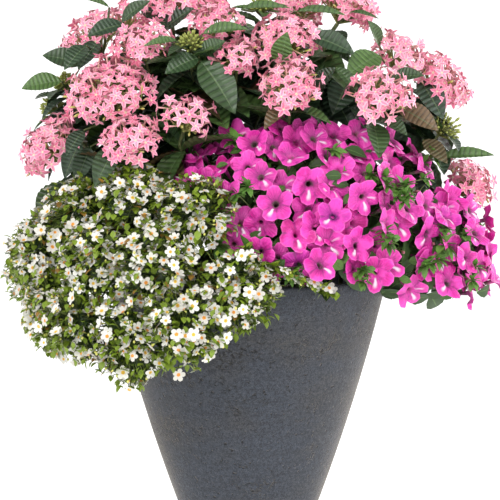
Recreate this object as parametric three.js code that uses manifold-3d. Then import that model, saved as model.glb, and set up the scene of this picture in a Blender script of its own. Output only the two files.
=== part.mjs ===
// A tapered planter holding three bedding plants: petunias spilling over the right of the rim, a mound of
// small white bacopa hanging over the left, and pentas with domed heads of star-shaped flowers behind them.
// Millimetres, +Z up, +X to the viewer's right, -Y towards the viewer.
// The origin is the centre of the pot's foot.
import * as THREE from "three";
import { mergeVertices } from "three/addons/utils/BufferGeometryUtils.js";
import Module from "manifold-3d";

const wasm = await Module();
wasm.setup();

// Driving dimensions.
const POT_HEIGHT = 360;
const RIM_RADIUS = 178;
const FOOT_RADIUS = 66;
const WALL_BULGE = 7.6; // how far the wall bows out half way up
const WALL = 7;
const POT_FLOOR = 10;
const POT_SIDES = 32;
const OUTER_ROWS = [90, 180, 270]; // heights where the outer wall changes its slope
const INNER_BEND = 190; // height where the inner wall does
const SOIL_TOP = 332;
const SOIL_CROWN = 5; // how much lower the soil lies at the wall
const SOIL_SLOPE = 40; // width of the band that falls to it
const GAP = 0.3; // air between a piece and what it rests in
const SEAT = 0.4; // air between a stem and the flowers that it carries
const NUDGE = 0.12; // least air each way between pieces that pass each other
const HOLE_DEPTH = 30;
const HOLE_EASE = 2.4; // how much wider a stem's hole is than the stem
const HOLE_SIDES = 5;
const STEM_RISE = 22; // how high a stem climbs above the soil before it turns
const STEM_APPROACH = 25; // length of the straight stretch that meets what a stem carries
const GOLDEN_ANGLE = THREE.MathUtils.degToRad(137.508);

const V = (x, y, z) => new THREE.Vector3(x, y, z);
const UP = V(0, 0, 1);
const rad = THREE.MathUtils.degToRad;

// Materials, one for each kind of surface.
const paint = (color, roughness, metalness = 0) =>
  new THREE.MeshStandardMaterial({ color, roughness, metalness });
const MATERIALS = {
  pot: paint(0x55575e, 0.62),
  soil: paint(0x2a1d14, 0.98),
  pentasFlower: paint(0xf08fae, 0.6),
  pentasLeaf: paint(0x2b4a2c, 0.5),
  petunia: paint(0xe33bb0, 0.55),
  petuniaLeaf: paint(0x54813a, 0.6),
  bacopa: paint(0x6f9a45, 0.6),
};

// The same number in 0..1 every time for one item and one purpose.
function draw(item, purpose) {
  const s = Math.sin(item * 12.9898 + purpose * 78.233) * 43758.5453;
  return s - Math.floor(s);
}
const between = (low, high, item, purpose) => low + (high - low) * draw(item, purpose);

// A closed three.js geometry as a solid that can be cut and joined.
function solid(geometry) {
  const bare = geometry.clone();
  for (const name of ["normal", "uv"]) bare.deleteAttribute(name);
  const merged = mergeVertices(bare, 1e-4);
  return new wasm.Manifold(
    new wasm.Mesh({
      numProp: 3,
      vertProperties: merged.attributes.position.array,
      triVerts: new Uint32Array(merged.index.array),
    }),
  );
}

function geometryOf(made) {
  const mesh = made.getMesh();
  const geometry = new THREE.BufferGeometry();
  geometry.setAttribute("position", new THREE.BufferAttribute(new Float32Array(mesh.vertProperties), 3));
  geometry.setIndex(new THREE.BufferAttribute(new Uint32Array(mesh.triVerts), 1));
  geometry.computeVertexNormals();
  return geometry;
}

function trianglesOf(points, faces) {
  const geometry = new THREE.BufferGeometry().setFromPoints(points);
  geometry.setIndex(faces.flat());
  return geometry;
}

const join = (solids) => wasm.Manifold.union(solids);

// Solids joined into one body, without any loose scrap that the joining leaves.
function grownTogether(solids) {
  const pieces = join(solids).decompose();
  return pieces.reduce((best, piece) => (piece.volume() > best.volume() ? piece : best));
}

// Every node so far, with its box, so that later ones can be kept clear of it.
const nodes = [];
const NUDGES = [V(1, 1, 1), V(1, -1, -1), V(-1, 1, -1), V(-1, -1, 1)].map((v) => v.multiplyScalar(NUDGE));

function addNode(name, made, material) {
  const box = made.boundingBox();
  nodes.push({ name, made, material, box });
}

const apart = (a, b) => [0, 1, 2].some((i) => a.max[i] + GAP < b.min[i] || b.max[i] + GAP < a.min[i]);

// Whether a solid, shifted a little each way, misses every node but its own.
function isClear(candidate, own) {
  const box = candidate.boundingBox();
  return nodes
    .filter((node) => node.name !== own && !apart(box, node.box))
    .every((node) => NUDGES.every((n) => candidate.translate([n.x, n.y, n.z]).intersect(node.made).isEmpty()));
}

// The first of many solids, each made when its turn comes, that is clear.
function firstClear(candidates, own) {
  for (const make of candidates) {
    const made = make();
    if (isClear(made, own)) return made;
  }
  return null;
}

// Pot: a turned shell with a bowed wall, a blunt rim and a flat foot.
const outerRadius = (z) => {
  const s = z / POT_HEIGHT;
  return FOOT_RADIUS + (RIM_RADIUS - FOOT_RADIUS) * s + 4 * WALL_BULGE * s * (1 - s);
};
// The inner wall in straight stretches, from the floor up.
const INNER_WALL = [POT_FLOOR, INNER_BEND, POT_HEIGHT].map((z) => [outerRadius(z) - WALL, z]);
function innerRadius(z) {
  const i = z < INNER_BEND ? 0 : 1;
  const [low, high] = [INNER_WALL[i], INNER_WALL[i + 1]];
  return low[0] + ((high[0] - low[0]) * (z - low[1])) / (high[1] - low[1]);
}

// A profile of [radius, height] pairs turned about the pot's axis.
function turned(profile) {
  const points = profile.map(([r, z]) => new THREE.Vector2(r, z));
  return solid(new THREE.LatheGeometry(points, POT_SIDES).rotateX(Math.PI / 2));
}

function potSolid() {
  return turned([
    [0, 0],
    [FOOT_RADIUS - 2, 0],
    [FOOT_RADIUS + 1, 3],
    ...OUTER_ROWS.map((z) => [outerRadius(z), z]),
    [RIM_RADIUS, POT_HEIGHT - 4],
    [RIM_RADIUS - 2.5, POT_HEIGHT],
    ...[...INNER_WALL].reverse(),
    [0, POT_FLOOR],
  ]);
}

// Soil that fills the pot, with a plain hole for each stem.
function soilSolid(stems) {
  const fit = (z) => [innerRadius(z) - GAP, z];
  const body = turned([
    [0, POT_FLOOR + GAP],
    fit(POT_FLOOR + GAP),
    fit(INNER_BEND),
    fit(SOIL_TOP - SOIL_CROWN),
    [innerRadius(SOIL_TOP) - SOIL_SLOPE, SOIL_TOP],
    [0, SOIL_TOP],
  ]);
  const holes = stems.map(({ foot, radius }) => {
    const wide = radius + HOLE_EASE;
    const hole = new THREE.CylinderGeometry(wide, wide, 2 * HOLE_DEPTH, HOLE_SIDES).rotateX(Math.PI / 2);
    return solid(hole.translate(foot[0], foot[1], SOIL_TOP));
  });
  return body.subtract(join(holes));
}

// A tube of few sides along a smooth curve.
function tube(points, radius, sides, steps) {
  const outline = new THREE.Shape(
    Array.from({ length: sides }, (_, i) => {
      const a = (i / sides) * 2 * Math.PI;
      return new THREE.Vector2(radius * Math.cos(a), radius * Math.sin(a));
    }),
  );
  const extrudePath = new THREE.CatmullRomCurve3(points);
  return solid(new THREE.ExtrudeGeometry(outline, { steps, extrudePath, bevelEnabled: false }));
}

// A right-handed frame whose third axis is the given direction, turned about it by roll.
function frameAt(origin, direction, roll = 0) {
  const n = direction.clone().normalize();
  const side = Math.abs(n.z) > 0.95 ? V(1, 0, 0) : UP;
  const across = new THREE.Vector3().crossVectors(side, n).normalize().applyAxisAngle(n, roll);
  const along = new THREE.Vector3().crossVectors(n, across);
  return { origin, across, along, n };
}
const inFrame = (f, x, y, z) =>
  f.origin.clone().addScaledVector(f.across, x).addScaledVector(f.along, y).addScaledVector(f.n, z);

// A flower's face: a ring of points, lobed by its petals, and the triangles that close it.
// shape.lobe gives each petal's points as [share of the radius, height] pairs. The face is a funnel down to
// shape.middle, or, where it has none, a flat star whose odd points are the notches between its petals.
function flowerFace(frame, radius, shape) {
  const count = shape.petals * shape.lobe.length;
  const points = Array.from({ length: count }, (_, i) => {
    const [share, lift] = shape.lobe[i % shape.lobe.length];
    const a = (i / count) * 2 * Math.PI;
    return inFrame(frame, radius * share * Math.cos(a), radius * share * Math.sin(a), radius * lift);
  });
  const rim = points.map((_, i) => i);
  const next = (i) => (i + 1) % count;
  if (shape.middle !== undefined) {
    points.push(inFrame(frame, 0, 0, radius * shape.middle));
    return { points, rim, faces: rim.map((i) => [count, i, next(i)]) };
  }
  const notches = rim.filter((i) => i % 2 === 1);
  const tips = rim.filter((i) => i % 2 === 0).map((i) => [(i + count - 1) % count, i, i + 1]);
  const inner = notches.slice(1, -1).map((n, k) => [notches[0], n, notches[k + 2]]);
  return { points, rim, faces: [...tips, ...inner] };
}

// Triangles from a rim down to three points that run the same way round. at gives each number's point.
function underside(at, rim, three, frame) {
  const angle = (i) => {
    const d = at.get(i).clone().sub(frame.origin);
    return Math.atan2(d.dot(frame.along), d.dot(frame.across));
  };
  const apartBy = (i, j) => Math.abs(Math.atan2(Math.sin(angle(i) - angle(j)), Math.cos(angle(i) - angle(j))));
  const foot = rim.map((r) => three.reduce((best, t) => (apartBy(r, t) < apartBy(r, best) ? t : best)));
  const faces = [];
  rim.forEach((r, i) => {
    const next = (i + 1) % rim.length;
    faces.push([rim[next], r, foot[i]]);
    if (foot[next] !== foot[i]) faces.push([rim[next], foot[i], foot[next]]);
  });
  return faces;
}

// What grows on one face of a core: a flower or leaf drawn out from the face, or a plain point.
// Gives its own points, and its triangles once the first of those points has a number.
function budOn(three, corners, grown) {
  if (grown.tip) {
    return { points: [grown.tip], faces: (first) => three.map((p, k) => [p, three[(k + 1) % 3], first]) };
  }
  const face = flowerFace(grown.frame, grown.radius, grown.shape);
  const faces = (first) => {
    const at = new Map(face.points.map((p, k) => [first + k, p]));
    three.forEach((p, k) => at.set(p, corners[k]));
    const rim = face.rim.map((k) => first + k);
    const top = face.faces.map((triangle) => triangle.map((k) => first + k));
    return [...top, ...underside(at, rim, three, grown.frame)];
  };
  return { points: face.points, faces };
}

// A faceted core some of whose faces carry a flower or a leaf, drawn out from the face itself.
// choices(i, face) gives what could grow on face i, the best first, and the first with room is taken.
function budding(core, choices) {
  const bare = core.clone();
  for (const name of ["normal", "uv"]) bare.deleteAttribute(name);
  const merged = mergeVertices(bare, 1e-4);
  const at = merged.attributes.position;
  const points = Array.from({ length: at.count }, (_, i) => new THREE.Vector3().fromBufferAttribute(at, i));
  const index = merged.index.array;
  const faces = [];
  for (let i = 0; i < index.length; i += 3) {
    const three = [index[i], index[i + 1], index[i + 2]];
    const corners = three.map((p) => points[p]);
    const found = choices(i / 3, describeFace(corners)).find((grown) => {
      const bud = budOn([0, 1, 2], corners, grown);
      return isClear(solid(trianglesOf([...corners, ...bud.points], [[2, 1, 0], ...bud.faces(3)])));
    });
    if (!found) {
      faces.push(three);
      continue;
    }
    const bud = budOn(three, corners, found);
    const first = points.length;
    points.push(...bud.points);
    faces.push(...bud.faces(first));
  }
  return solid(trianglesOf(points, faces));
}

// A triangle's middle, the centre and radius of the circle inside it, and its outward normal.
function describeFace([a, b, c]) {
  const sides = [b.distanceTo(c), c.distanceTo(a), a.distanceTo(b)];
  const around = sides[0] + sides[1] + sides[2];
  const normal = b.clone().sub(a).cross(c.clone().sub(a));
  const centre = V(0, 0, 0);
  [a, b, c].forEach((p, k) => centre.addScaledVector(p, sides[k] / around));
  return {
    middle: a.clone().add(b).add(c).divideScalar(3),
    centre,
    inner: normal.length() / around,
    outward: normal.normalize(),
  };
}

const STAR = { petals: 5, lobe: [[1, -0.02], [0.46, -0.1]] };
const PETUNIA_FACE = { petals: 5, middle: -0.36, lobe: [[1, -0.02], [0.84, 0.03]] };
const BACOPA_FACE = { petals: 5, lobe: [[1, 0], [0.56, -0.06]] };
const BACOPA_LEAF = {
  petals: 1,
  middle: 0.06,
  lobe: [[1.25, -0.1], [0.62, 0.05], [0.8, 0], [0.8, 0], [0.62, 0.05]],
};

// Pentas. Each head: where its middle is, its radius, and how far its stalk leans in X and Y.
const HEADS = {
  left_large: { at: [-165, -90, 580], radius: 43, lean: [-0.3, -0.7] },
  left_front: { at: [-137, -142, 527], radius: 30, lean: [-0.1, -0.9] },
  loose_front: { at: [-72, -132, 551], radius: 28, lean: [0.3, -0.8] },
  far_left: { at: [-241, -40, 516], radius: 35, lean: [-1, -0.5] },
  high_left: { at: [-195, 0, 650], radius: 36, lean: [-0.8, -0.1] },
  top_left: { at: [-161, 62, 677], radius: 27, lean: [-0.4, 0.2] },
  crown_left: { at: [-96, -20, 689], radius: 30, lean: [-0.1, -0.2] },
  upper_left: { at: [-127, -72, 640], radius: 31, lean: [-0.2, -0.5] },
  crown_back: { at: [-52, 50, 690], radius: 28, lean: [0, 0.1] },
  crown_middle: { at: [-38, -62, 662], radius: 29, lean: [0, -0.5] },
  middle_front: { at: [-12, -98, 624], radius: 25, lean: [0.1, -0.7] },
  upper_middle: { at: [47, -80, 646], radius: 35, lean: [0.1, -0.6] },
  crown_right: { at: [62, 32, 690], radius: 28, lean: [0.2, 0.1] },
  top_right: { at: [121, -10, 688], radius: 34, lean: [0.6, -0.2] },
  low_middle: { at: [49, -150, 588], radius: 31, lean: [0, -0.9] },
  low_right: { at: [153, -132, 577], radius: 31, lean: [0.2, -0.9] },
  right_upper: { at: [184, -36, 630], radius: 30, lean: [0.4, -0.5] },
  right_large: { at: [239, 0, 596], radius: 35, lean: [0.8, -0.3] },
  far_right: { at: [281, 22, 470], radius: 32, lean: [1, -0.3] },
  back_right: { at: [205, 108, 560], radius: 33, lean: [0.7, 0.6] },
  back_middle: { at: [70, 172, 598], radius: 35, lean: [0.1, 0.9] },
  back_left: { at: [-62, 165, 612], radius: 33, lean: [-0.2, 0.8] },
  back_far_left: { at: [-182, 120, 548], radius: 34, lean: [-0.8, 0.6] },
};
// Green clusters of unopened buds.
const BUD_HEADS = {
  buds_middle: { at: [-68, -92, 640], radius: 14, lean: [0, -0.4] },
  buds_left: { at: [-226, -20, 596], radius: 13, lean: [-0.5, -0.2] },
  buds_far_left: { at: [-247, 16, 566], radius: 14, lean: [-0.7, -0.1] },
  buds_right: { at: [244, -22, 540], radius: 18, lean: [0.9, -0.4] },
  buds_top: { at: [18, -30, 690], radius: 12, lean: [0, -0.2] },
};
// Each branching stem: where it leaves the soil, and what it carries, its main shoot first.
const BRANCHES = [
  { foot: [-82, -8], carries: ["far_left", "buds_far_left", "back_far_left"] },
  { foot: [-60, -34], carries: ["left_large", "left_front"] },
  { foot: [-64, 36], carries: ["high_left", "upper_left", "top_left", "buds_left"] },
  { foot: [-26, 8], carries: ["crown_left", "loose_front", "crown_middle", "buds_middle"] },
  { foot: [4, 52], carries: ["crown_back", "middle_front", "upper_middle", "buds_top"] },
  { foot: [34, 4], carries: ["top_right", "low_middle", "crown_right"] },
  { foot: [78, 22], carries: ["right_upper", "low_right", "right_large"] },
  { foot: [96, 66], carries: ["back_right", "far_right", "buds_right"] },
  { foot: [-14, 100], carries: ["back_middle", "back_left"] },
];
const CORE_SHARE = 0.62; // a head's core against its own radius
const FLORET_SHARE = 0.345; // the largest star that stays over its own face
const EDGE_DEPTH = 0.851; // how far the core's lowest edge is from its middle, against its radius
const LARGE_HEAD = 40; // heads above this radius carry stars further down their sides
const SMALL_HEAD = 28.5; // and those below it only on top
const BUD_CORE_SHARE = 0.7;
const BUD_REACH = 1.15;
const STEM_RADIUS = 3.4;
const SHOOT_RADIUS = 2.6;
const FORKS = { first: 0.35, step: 0.1 }; // where the side shoots leave a stem, as shares of its length
const LEAF_THICKNESS = 3;

const point = (row) => V(...row.at);
const axisOf = (row) => V(row.lean[0], row.lean[1], 1).normalize();

// The core's faces that look along the head's axis carry the florets.
function head(row, item) {
  const centre = point(row);
  const axis = axisOf(row);
  const core = new THREE.IcosahedronGeometry(row.radius * CORE_SHARE, 0);
  core.applyQuaternion(new THREE.Quaternion().setFromUnitVectors(UP, axis)).translate(...row.at);
  // The least cosine between the head's axis and a face that carries a floret.
  const lowest = row.radius > LARGE_HEAD ? -0.05 : row.radius < SMALL_HEAD ? 0.5 : 0.3;
  return budding(core, (i, face) => {
    const outward = face.middle.clone().sub(centre).normalize();
    if (outward.dot(axis) < lowest) return [];
    const reach = row.radius * between(0.94, 1.02, item * 20 + i, 1);
    const frame = frameAt(centre.clone().addScaledVector(outward, reach), outward, 6 * draw(item * 20 + i, 2));
    return [{ frame, radius: row.radius * FLORET_SHARE, shape: STAR }];
  });
}

// A cluster of buds: a faceted ball with a point drawn out of each upper face.
function budHead(row) {
  const centre = point(row);
  const core = new THREE.IcosahedronGeometry(row.radius * BUD_CORE_SHARE, 0).translate(...row.at);
  return budding(core, (i, face) => {
    const outward = face.middle.clone().sub(centre).normalize();
    if (outward.dot(axisOf(row)) < -0.2) return [];
    return [{ tip: centre.clone().addScaledVector(outward, row.radius * BUD_REACH) }];
  });
}

// A stem's way from the soil to what it carries. Where that hangs below the rim, it goes over the rim first.
const overRim = (target) => {
  const out = Math.hypot(target.x, target.y);
  const over = (RIM_RADIUS - 6) / out;
  return V(target.x * over, target.y * over, POT_HEIGHT + 16);
};
const hangs = (target) => Math.hypot(target.x, target.y) > RIM_RADIUS - 20 && target.z < POT_HEIGHT + 40;

function stemPath(foot, target, arrive, bend) {
  const start = V(foot[0], foot[1], SOIL_TOP - HOLE_DEPTH + GAP);
  const collar = V(foot[0], foot[1], SOIL_TOP);
  const rise = V(foot[0], foot[1], SOIL_TOP + STEM_RISE);
  const middle = hangs(target) ? overRim(target) : rise.clone().lerp(target, 0.5);
  middle.add(bend);
  return [start, collar, rise, middle, target.clone().addScaledVector(arrive, -STEM_APPROACH), target];
}

// Ways to bend a stem clear of what stands in between: straight, then ever further out to all sides.
const BENDS = [V(0, 0, 12)];
for (const far of [25, 45, 65, 90, 120]) {
  for (let k = 0; k < 8; k++) {
    const a = (k * Math.PI) / 4;
    BENDS.push(V(far * Math.sin(a), far * Math.cos(a), 12 + far * 0.2));
  }
}

// A tube along the first path of many on which it misses everything, with the points of its middle line.
function clearTube(paths, radius, sides, steps) {
  const path = paths.find((p) => isClear(tube(p, radius, sides, steps))) ?? paths[0];
  const line = new THREE.CatmullRomCurve3(path).getSpacedPoints(steps);
  return { made: tube(path, radius, sides, steps), line };
}

// The point a share of the way along a line of evenly spaced points, and the line's direction there.
function alongLine(line, share) {
  const place = share * (line.length - 1);
  const i = Math.min(Math.floor(place), line.length - 2);
  return {
    base: line[i].clone().lerp(line[i + 1], place - i),
    tangent: line[i + 1].clone().sub(line[i]).normalize(),
  };
}

// A flower head's stem stops just short of the core's lowest edge, and a bud head's runs into it.
function endOf(name) {
  const flower = HEADS[name];
  const row = flower ?? BUD_HEADS[name];
  const axis = axisOf(row);
  const back = flower ? row.radius * CORE_SHARE * EDGE_DEPTH + SEAT : 0;
  return { row, axis, target: point(row).addScaledVector(axis, -back), isFlower: Boolean(flower) };
}

// The wood of one pentas: a main shoot, its side shoots and its green bud heads.
function growBranch(branch, number) {
  const [first, ...others] = branch.carries;
  const main = endOf(first);
  const paths = BENDS.map((bend) => stemPath(branch.foot, main.target, main.axis, bend));
  const trunk = clearTube(paths, STEM_RADIUS, 4, 6);
  const shoots = [{ line: trunk.line, item: number * 10, main: true }];
  const parts = [trunk.made];
  if (!main.isFlower) parts.push(budHead(main.row));
  others.forEach((name, k) => {
    const end = endOf(name);
    const fork = alongLine(trunk.line, FORKS.first + FORKS.step * k).base;
    const sides = BENDS.map((bend) => {
      const middle = fork.clone().lerp(end.target, 0.45).add(bend);
      return [fork, middle, end.target.clone().addScaledVector(end.axis, -STEM_APPROACH), end.target];
    });
    const shoot = clearTube(sides, SHOOT_RADIUS, 3, 4);
    parts.push(shoot.made);
    shoots.push({ line: shoot.line, item: number * 10 + k + 1 });
    if (!end.isFlower) parts.push(budHead(end.row));
  });
  return { made: grownTogether(parts), shoots };
}

// A leaf's own frame: it grows along the given direction with its upper face up.
function leafFrame(origin, direction) {
  const across = direction.clone().normalize();
  const n = UP.clone().addScaledVector(across, -across.dot(UP)).normalize();
  return { origin, across, along: new THREE.Vector3().crossVectors(n, across), n };
}

// A leaf blade: a pointed oval, arched along its length and folded along its midrib.
// It starts at the frame's origin and runs along the frame's across axis.
function blade(frame, length, width, droop) {
  const fold = width * 0.12;
  const place = (t, w, lift) => inFrame(frame, length * t, width * w, lift - droop * length * t * t);
  const rim = [
    place(0, 0, 0),
    place(0.26, -0.42, fold),
    place(0.64, -0.42, fold),
    place(1, 0, 0),
    place(0.64, 0.42, fold),
    place(0.26, 0.42, fold),
  ];
  const ribs = [LEAF_THICKNESS / 2, -LEAF_THICKNESS / 2].map((lift) => place(0.45, 0, lift));
  const points = [...rim, ...ribs];
  const faces = rim.flatMap((_, i) => {
    const next = (i + 1) % rim.length;
    return [[i, next, rim.length], [next, i, rim.length + 1]];
  });
  return solid(trianglesOf(points, faces));
}

// Leaves in opposite pairs up a shoot, each pair at right angles to the one below it.
function leavesOn(shoot, rule, own) {
  const grown = [];
  (shoot.main ? rule.main : rule.side).forEach((t, k) => {
    const { base, tangent } = alongLine(shoot.line, t);
    for (const side of shoot.main ? [0, 1] : [0]) {
      const item = shoot.item * 10 + k * 2 + side;
      const turn = 6 * draw(shoot.item, 5) + k * (Math.PI / 2) + side * Math.PI;
      const length = between(...rule.lengths, item, 6);
      const droop = between(0.1, 0.5, item, 7);
      const tries = [];
      for (const share of [1, 0.8, 0.62]) {
        for (const swing of [0, 0.5, -0.5, 1, -1]) {
          const lift = between(-0.1, 0.5, item, 8);
          const ring = frameAt(base, tangent, turn + swing);
          const direction = ring.across.clone().addScaledVector(tangent, lift);
          const long = length * share;
          tries.push(() => blade(leafFrame(base, direction), long, long * rule.broad, droop));
        }
      }
      const made = firstClear(tries, own);
      if (made) grown.push(made);
    }
  });
  return grown;
}

// Points spread evenly over a band of an ellipsoid by the golden angle.
// The band runs from azimuth to azimuth, 0 towards the viewer, and between two sines of elevation.
function spread(mound) {
  const found = [];
  for (let i = 0; i < mound.count; i++) {
    const sine = 1 - (2 * (i + 0.5)) / mound.count;
    const cosine = Math.sqrt(1 - sine * sine);
    const turn = (i * GOLDEN_ANGLE) % (2 * Math.PI);
    const azimuth = turn > Math.PI ? turn - 2 * Math.PI : turn;
    const [from, to] = mound.azimuths.map(rad);
    if (azimuth < from || azimuth > to || sine < mound.sines[0] || sine > mound.sines[1]) continue;
    const unit = V(Math.sin(azimuth) * cosine, -Math.cos(azimuth) * cosine, sine);
    const radii = V(...mound.radii);
    const at = unit.clone().multiply(radii).add(V(...mound.centre));
    const normal = unit.clone().divide(radii).normalize();
    found.push({ at, normal, item: i + mound.seed });
  }
  return found;
}

// Whether a point lies under the skin of a mound.
const SKIN = 0.97;
const inside = (p, mound) => p.clone().sub(V(...mound.centre)).divide(V(...mound.radii)).length() < SKIN;

// Splits items into bunches round the few that lie furthest from each other.
function bunches(items, count) {
  const seeds = [items[0]];
  while (seeds.length < count) {
    const gap = (it) => Math.min(...seeds.map((s) => s.at.distanceTo(it.at)));
    seeds.push(items.reduce((best, it) => (gap(it) > gap(best) ? it : best)));
  }
  const groups = seeds.map(() => []);
  for (const it of items) {
    const distances = seeds.map((s) => s.at.distanceTo(it.at));
    groups[distances.indexOf(Math.min(...distances))].push(it);
  }
  return groups;
}

// Petunias: two plants, one in front and one trailing over the right of the rim.
const PETUNIA_FRONT = {
  seed: 1000, centre: [62, -46, 402], radii: [196, 154, 162], count: 206,
  azimuths: [-86, 82], sines: [-0.16, 0.9],
};
const PETUNIA_SIDE = {
  seed: 2000, centre: [188, -10, 372], radii: [122, 140, 122], count: 118,
  azimuths: [-22, 172], sines: [-0.26, 0.72],
};
const PETUNIAS = [
  { mound: PETUNIA_FRONT, other: PETUNIA_SIDE, bunches: 7, foot: [58, -72] },
  { mound: PETUNIA_SIDE, other: PETUNIA_FRONT, bunches: 4, foot: [118, -16] },
];
const BLOOM_RADIUS = 21;
const HUB_DEPTH = 52; // how far inside the mound a bunch's knot lies
const HUB_RADIUS = 6;
const NECK_RADIUS = 3.4; // of a bloom's tube where the funnel ends
const THIRD = (2 * Math.PI) / 3;
// How a bloom may be made to fit: shares of its radius, each with how far it is tilted up.
const BLOOM_TRIES = [[1, 0.35], [1, 0], [0.86, 0.2], [0.74, 0.1], [0.62, 0.2]];

// One bloom: a lobed funnel that narrows to a slim tube ending at the hub.
function bloom(item, hub, radius, tilt) {
  const facing = item.normal.clone().add(V(0, 0, tilt)).normalize();
  const origin = item.at.clone().addScaledVector(item.normal, between(-7, 7, item.item, 3));
  const frame = frameAt(origin, facing, 6 * draw(item.item, 4));
  const { points, rim, faces } = flowerFace(frame, radius, PETUNIA_FACE);
  const corner = (k, f, r, depth) => inFrame(f, r * Math.cos(k * THIRD), r * Math.sin(k * THIRD), depth);
  const outward = origin.clone().sub(hub);
  const root = frameAt(hub.clone().addScaledVector(outward, 0.03), outward);
  const necks = [0, 1, 2].map((k) => corner(k, frame, NECK_RADIUS, -radius * 0.75));
  const ends = [0, 1, 2].map((k) => corner(k, root, NECK_RADIUS / 2, 0));
  // The tube's far end takes the corner order that twists it least.
  const twist = [0, 1, 2].map((s) => necks.reduce((sum, p, k) => sum + p.distanceTo(ends[(k + s) % 3]), 0));
  const shift = twist.indexOf(Math.min(...twist));
  const neck = necks.map((p) => points.push(p) - 1);
  const foot = necks.map((_, k) => points.push(ends[(k + shift) % 3]) - 1);
  faces.push(...underside(new Map(points.entries()), rim, neck, frame));
  for (let k = 0; k < 3; k++) {
    const n = (k + 1) % 3;
    faces.push([neck[n], neck[k], foot[k]], [neck[n], foot[k], foot[n]]);
  }
  faces.push([foot[2], foot[1], foot[0]]);
  return solid(trianglesOf(points, faces));
}

// Where the stem that carries a hub comes from: over the rim for a hanging one, else from below.
const arrivalAt = (hub) => (hangs(hub) ? hub.clone().sub(overRim(hub)).normalize() : V(0, 0, 1));

// The petunias end where the bacopa begins, on a line that falls to the right.
const rightOfBacopa = (p) => p.y > -20 || p.x > -105 + 1.26 * (475 - p.z);

function growBunches(plant) {
  const items = spread(plant.mound).filter((it) => !inside(it.at, plant.other) && rightOfBacopa(it.at));
  return bunches(items, plant.bunches).map((group) => {
    const middle = group.reduce((sum, it) => sum.add(it.at), V(0, 0, 0)).divideScalar(group.length);
    const outward = group.reduce((sum, it) => sum.add(it.normal), V(0, 0, 0)).normalize();
    const hub = middle.clone().addScaledVector(outward, -HUB_DEPTH);
    const arrive = arrivalAt(hub);
    const knot = new THREE.OctahedronGeometry(HUB_RADIUS, 0);
    knot.applyQuaternion(new THREE.Quaternion().setFromUnitVectors(UP, arrive)).translate(hub.x, hub.y, hub.z);
    const parts = [solid(knot)];
    for (const it of group) {
      const tries = BLOOM_TRIES.map(([share, tilt]) => () => bloom(it, hub, BLOOM_RADIUS * share, tilt));
      const made = firstClear(tries);
      if (made) parts.push(made);
    }
    return { hub, arrive, made: grownTogether(parts) };
  });
}

// The green of one petunia: stems from one foot to the hub of each of its bunches.
function growPetunia(plant, hubs, number) {
  const shoots = [];
  const parts = hubs.map(({ hub, arrive }, k) => {
    const target = hub.clone().addScaledVector(arrive, -HUB_RADIUS - SEAT);
    const paths = BENDS.map((bend) => stemPath(plant.foot, target, arrive, bend));
    const stem = clearTube(paths, SHOOT_RADIUS, 3, 5);
    shoots.push({ line: stem.line, item: 500 + number * 20 + k });
    return stem.made;
  });
  return { made: grownTogether(parts), shoots };
}

// Bacopa: stems that fork to two sprays each. A spray: its middle, and which way its flowered side faces.
const BACOPA = [
  {
    foot: [-122, -40],
    sprays: [
      { at: [-252, -92, 398], facing: [-0.8, -0.5, 0.5] },
      { at: [-232, -112, 328], facing: [-0.8, -0.6, -0.1] },
    ],
  },
  {
    foot: [-112, -66],
    sprays: [
      { at: [-200, -112, 446], facing: [-0.5, -0.5, 0.8] },
      { at: [-176, -176, 388], facing: [-0.4, -0.9, 0.3] },
    ],
  },
  {
    foot: [-92, -88],
    sprays: [
      { at: [-130, -146, 462], facing: [-0.1, -0.6, 0.9] },
      { at: [-134, -200, 298], facing: [-0.5, -0.9, -0.1] },
    ],
  },
  {
    foot: [-66, -104],
    sprays: [
      { at: [-104, -204, 390], facing: [-0.2, -1, 0.3] },
      { at: [-72, -220, 322], facing: [-0.2, -1, -0.1] },
    ],
  },
  {
    foot: [-34, -116],
    sprays: [
      { at: [-62, -176, 446], facing: [-0.1, -0.8, 0.6] },
      { at: [-14, -216, 360], facing: [0.1, -1, 0] },
    ],
  },
  {
    foot: [-128, -8],
    sprays: [
      { at: [-268, -6, 372], facing: [-1, 0, 0.3] },
      { at: [-222, 72, 384], facing: [-0.9, 0.4, 0.4] },
    ],
  },
  {
    foot: [-100, -36],
    sprays: [
      { at: [-196, -164, 320], facing: [-0.7, -0.8, -0.1] },
      { at: [-246, -32, 306], facing: [-1, -0.1, -0.1] },
    ],
  },
];
const SPRAY = { across: 32, deep: 17, reach: 13 }; // its core's half sizes, and how far its flowers stand out
const SPRAY_SHARES = [1, 0.85, 0.7, 0.55]; // how far a core may shrink where it is tight
const FLOWERED_SHARE = 0.5; // of the faces on the facing side
const BACOPA_STEM = 2.2;

// A spray: a flattened faceted core whose faces carry flowers on the facing side and leaves elsewhere.
function spray(row, item) {
  const frame = frameAt(V(...row.at), V(...row.facing), 6 * draw(item, 9));
  const turn = new THREE.Matrix4().makeBasis(frame.across, frame.along, frame.n);
  const cores = SPRAY_SHARES.map((share) => {
    const core = new THREE.IcosahedronGeometry(share, 0).scale(SPRAY.across, SPRAY.across, SPRAY.deep);
    return core.applyMatrix4(turn).translate(...row.at);
  });
  const core = cores.find((c) => isClear(solid(c)));
  return budding(core ?? cores[0], (i, face) => {
    const number = item * 20 + i;
    const facing = face.outward.dot(frame.n);
    if (facing < -0.6) return [];
    const shape = facing > -0.2 && draw(number, 10) < FLOWERED_SHARE ? BACOPA_FACE : BACOPA_LEAF;
    return [1, 0.6, 0.3].map((share) => {
      const origin = face.centre.clone().addScaledVector(face.outward, SPRAY.reach * share);
      const radius = face.inner * (1 + 0.25 * share);
      return { frame: frameAt(origin, face.outward, 6 * draw(number, 11)), radius, shape };
    });
  });
}

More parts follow.
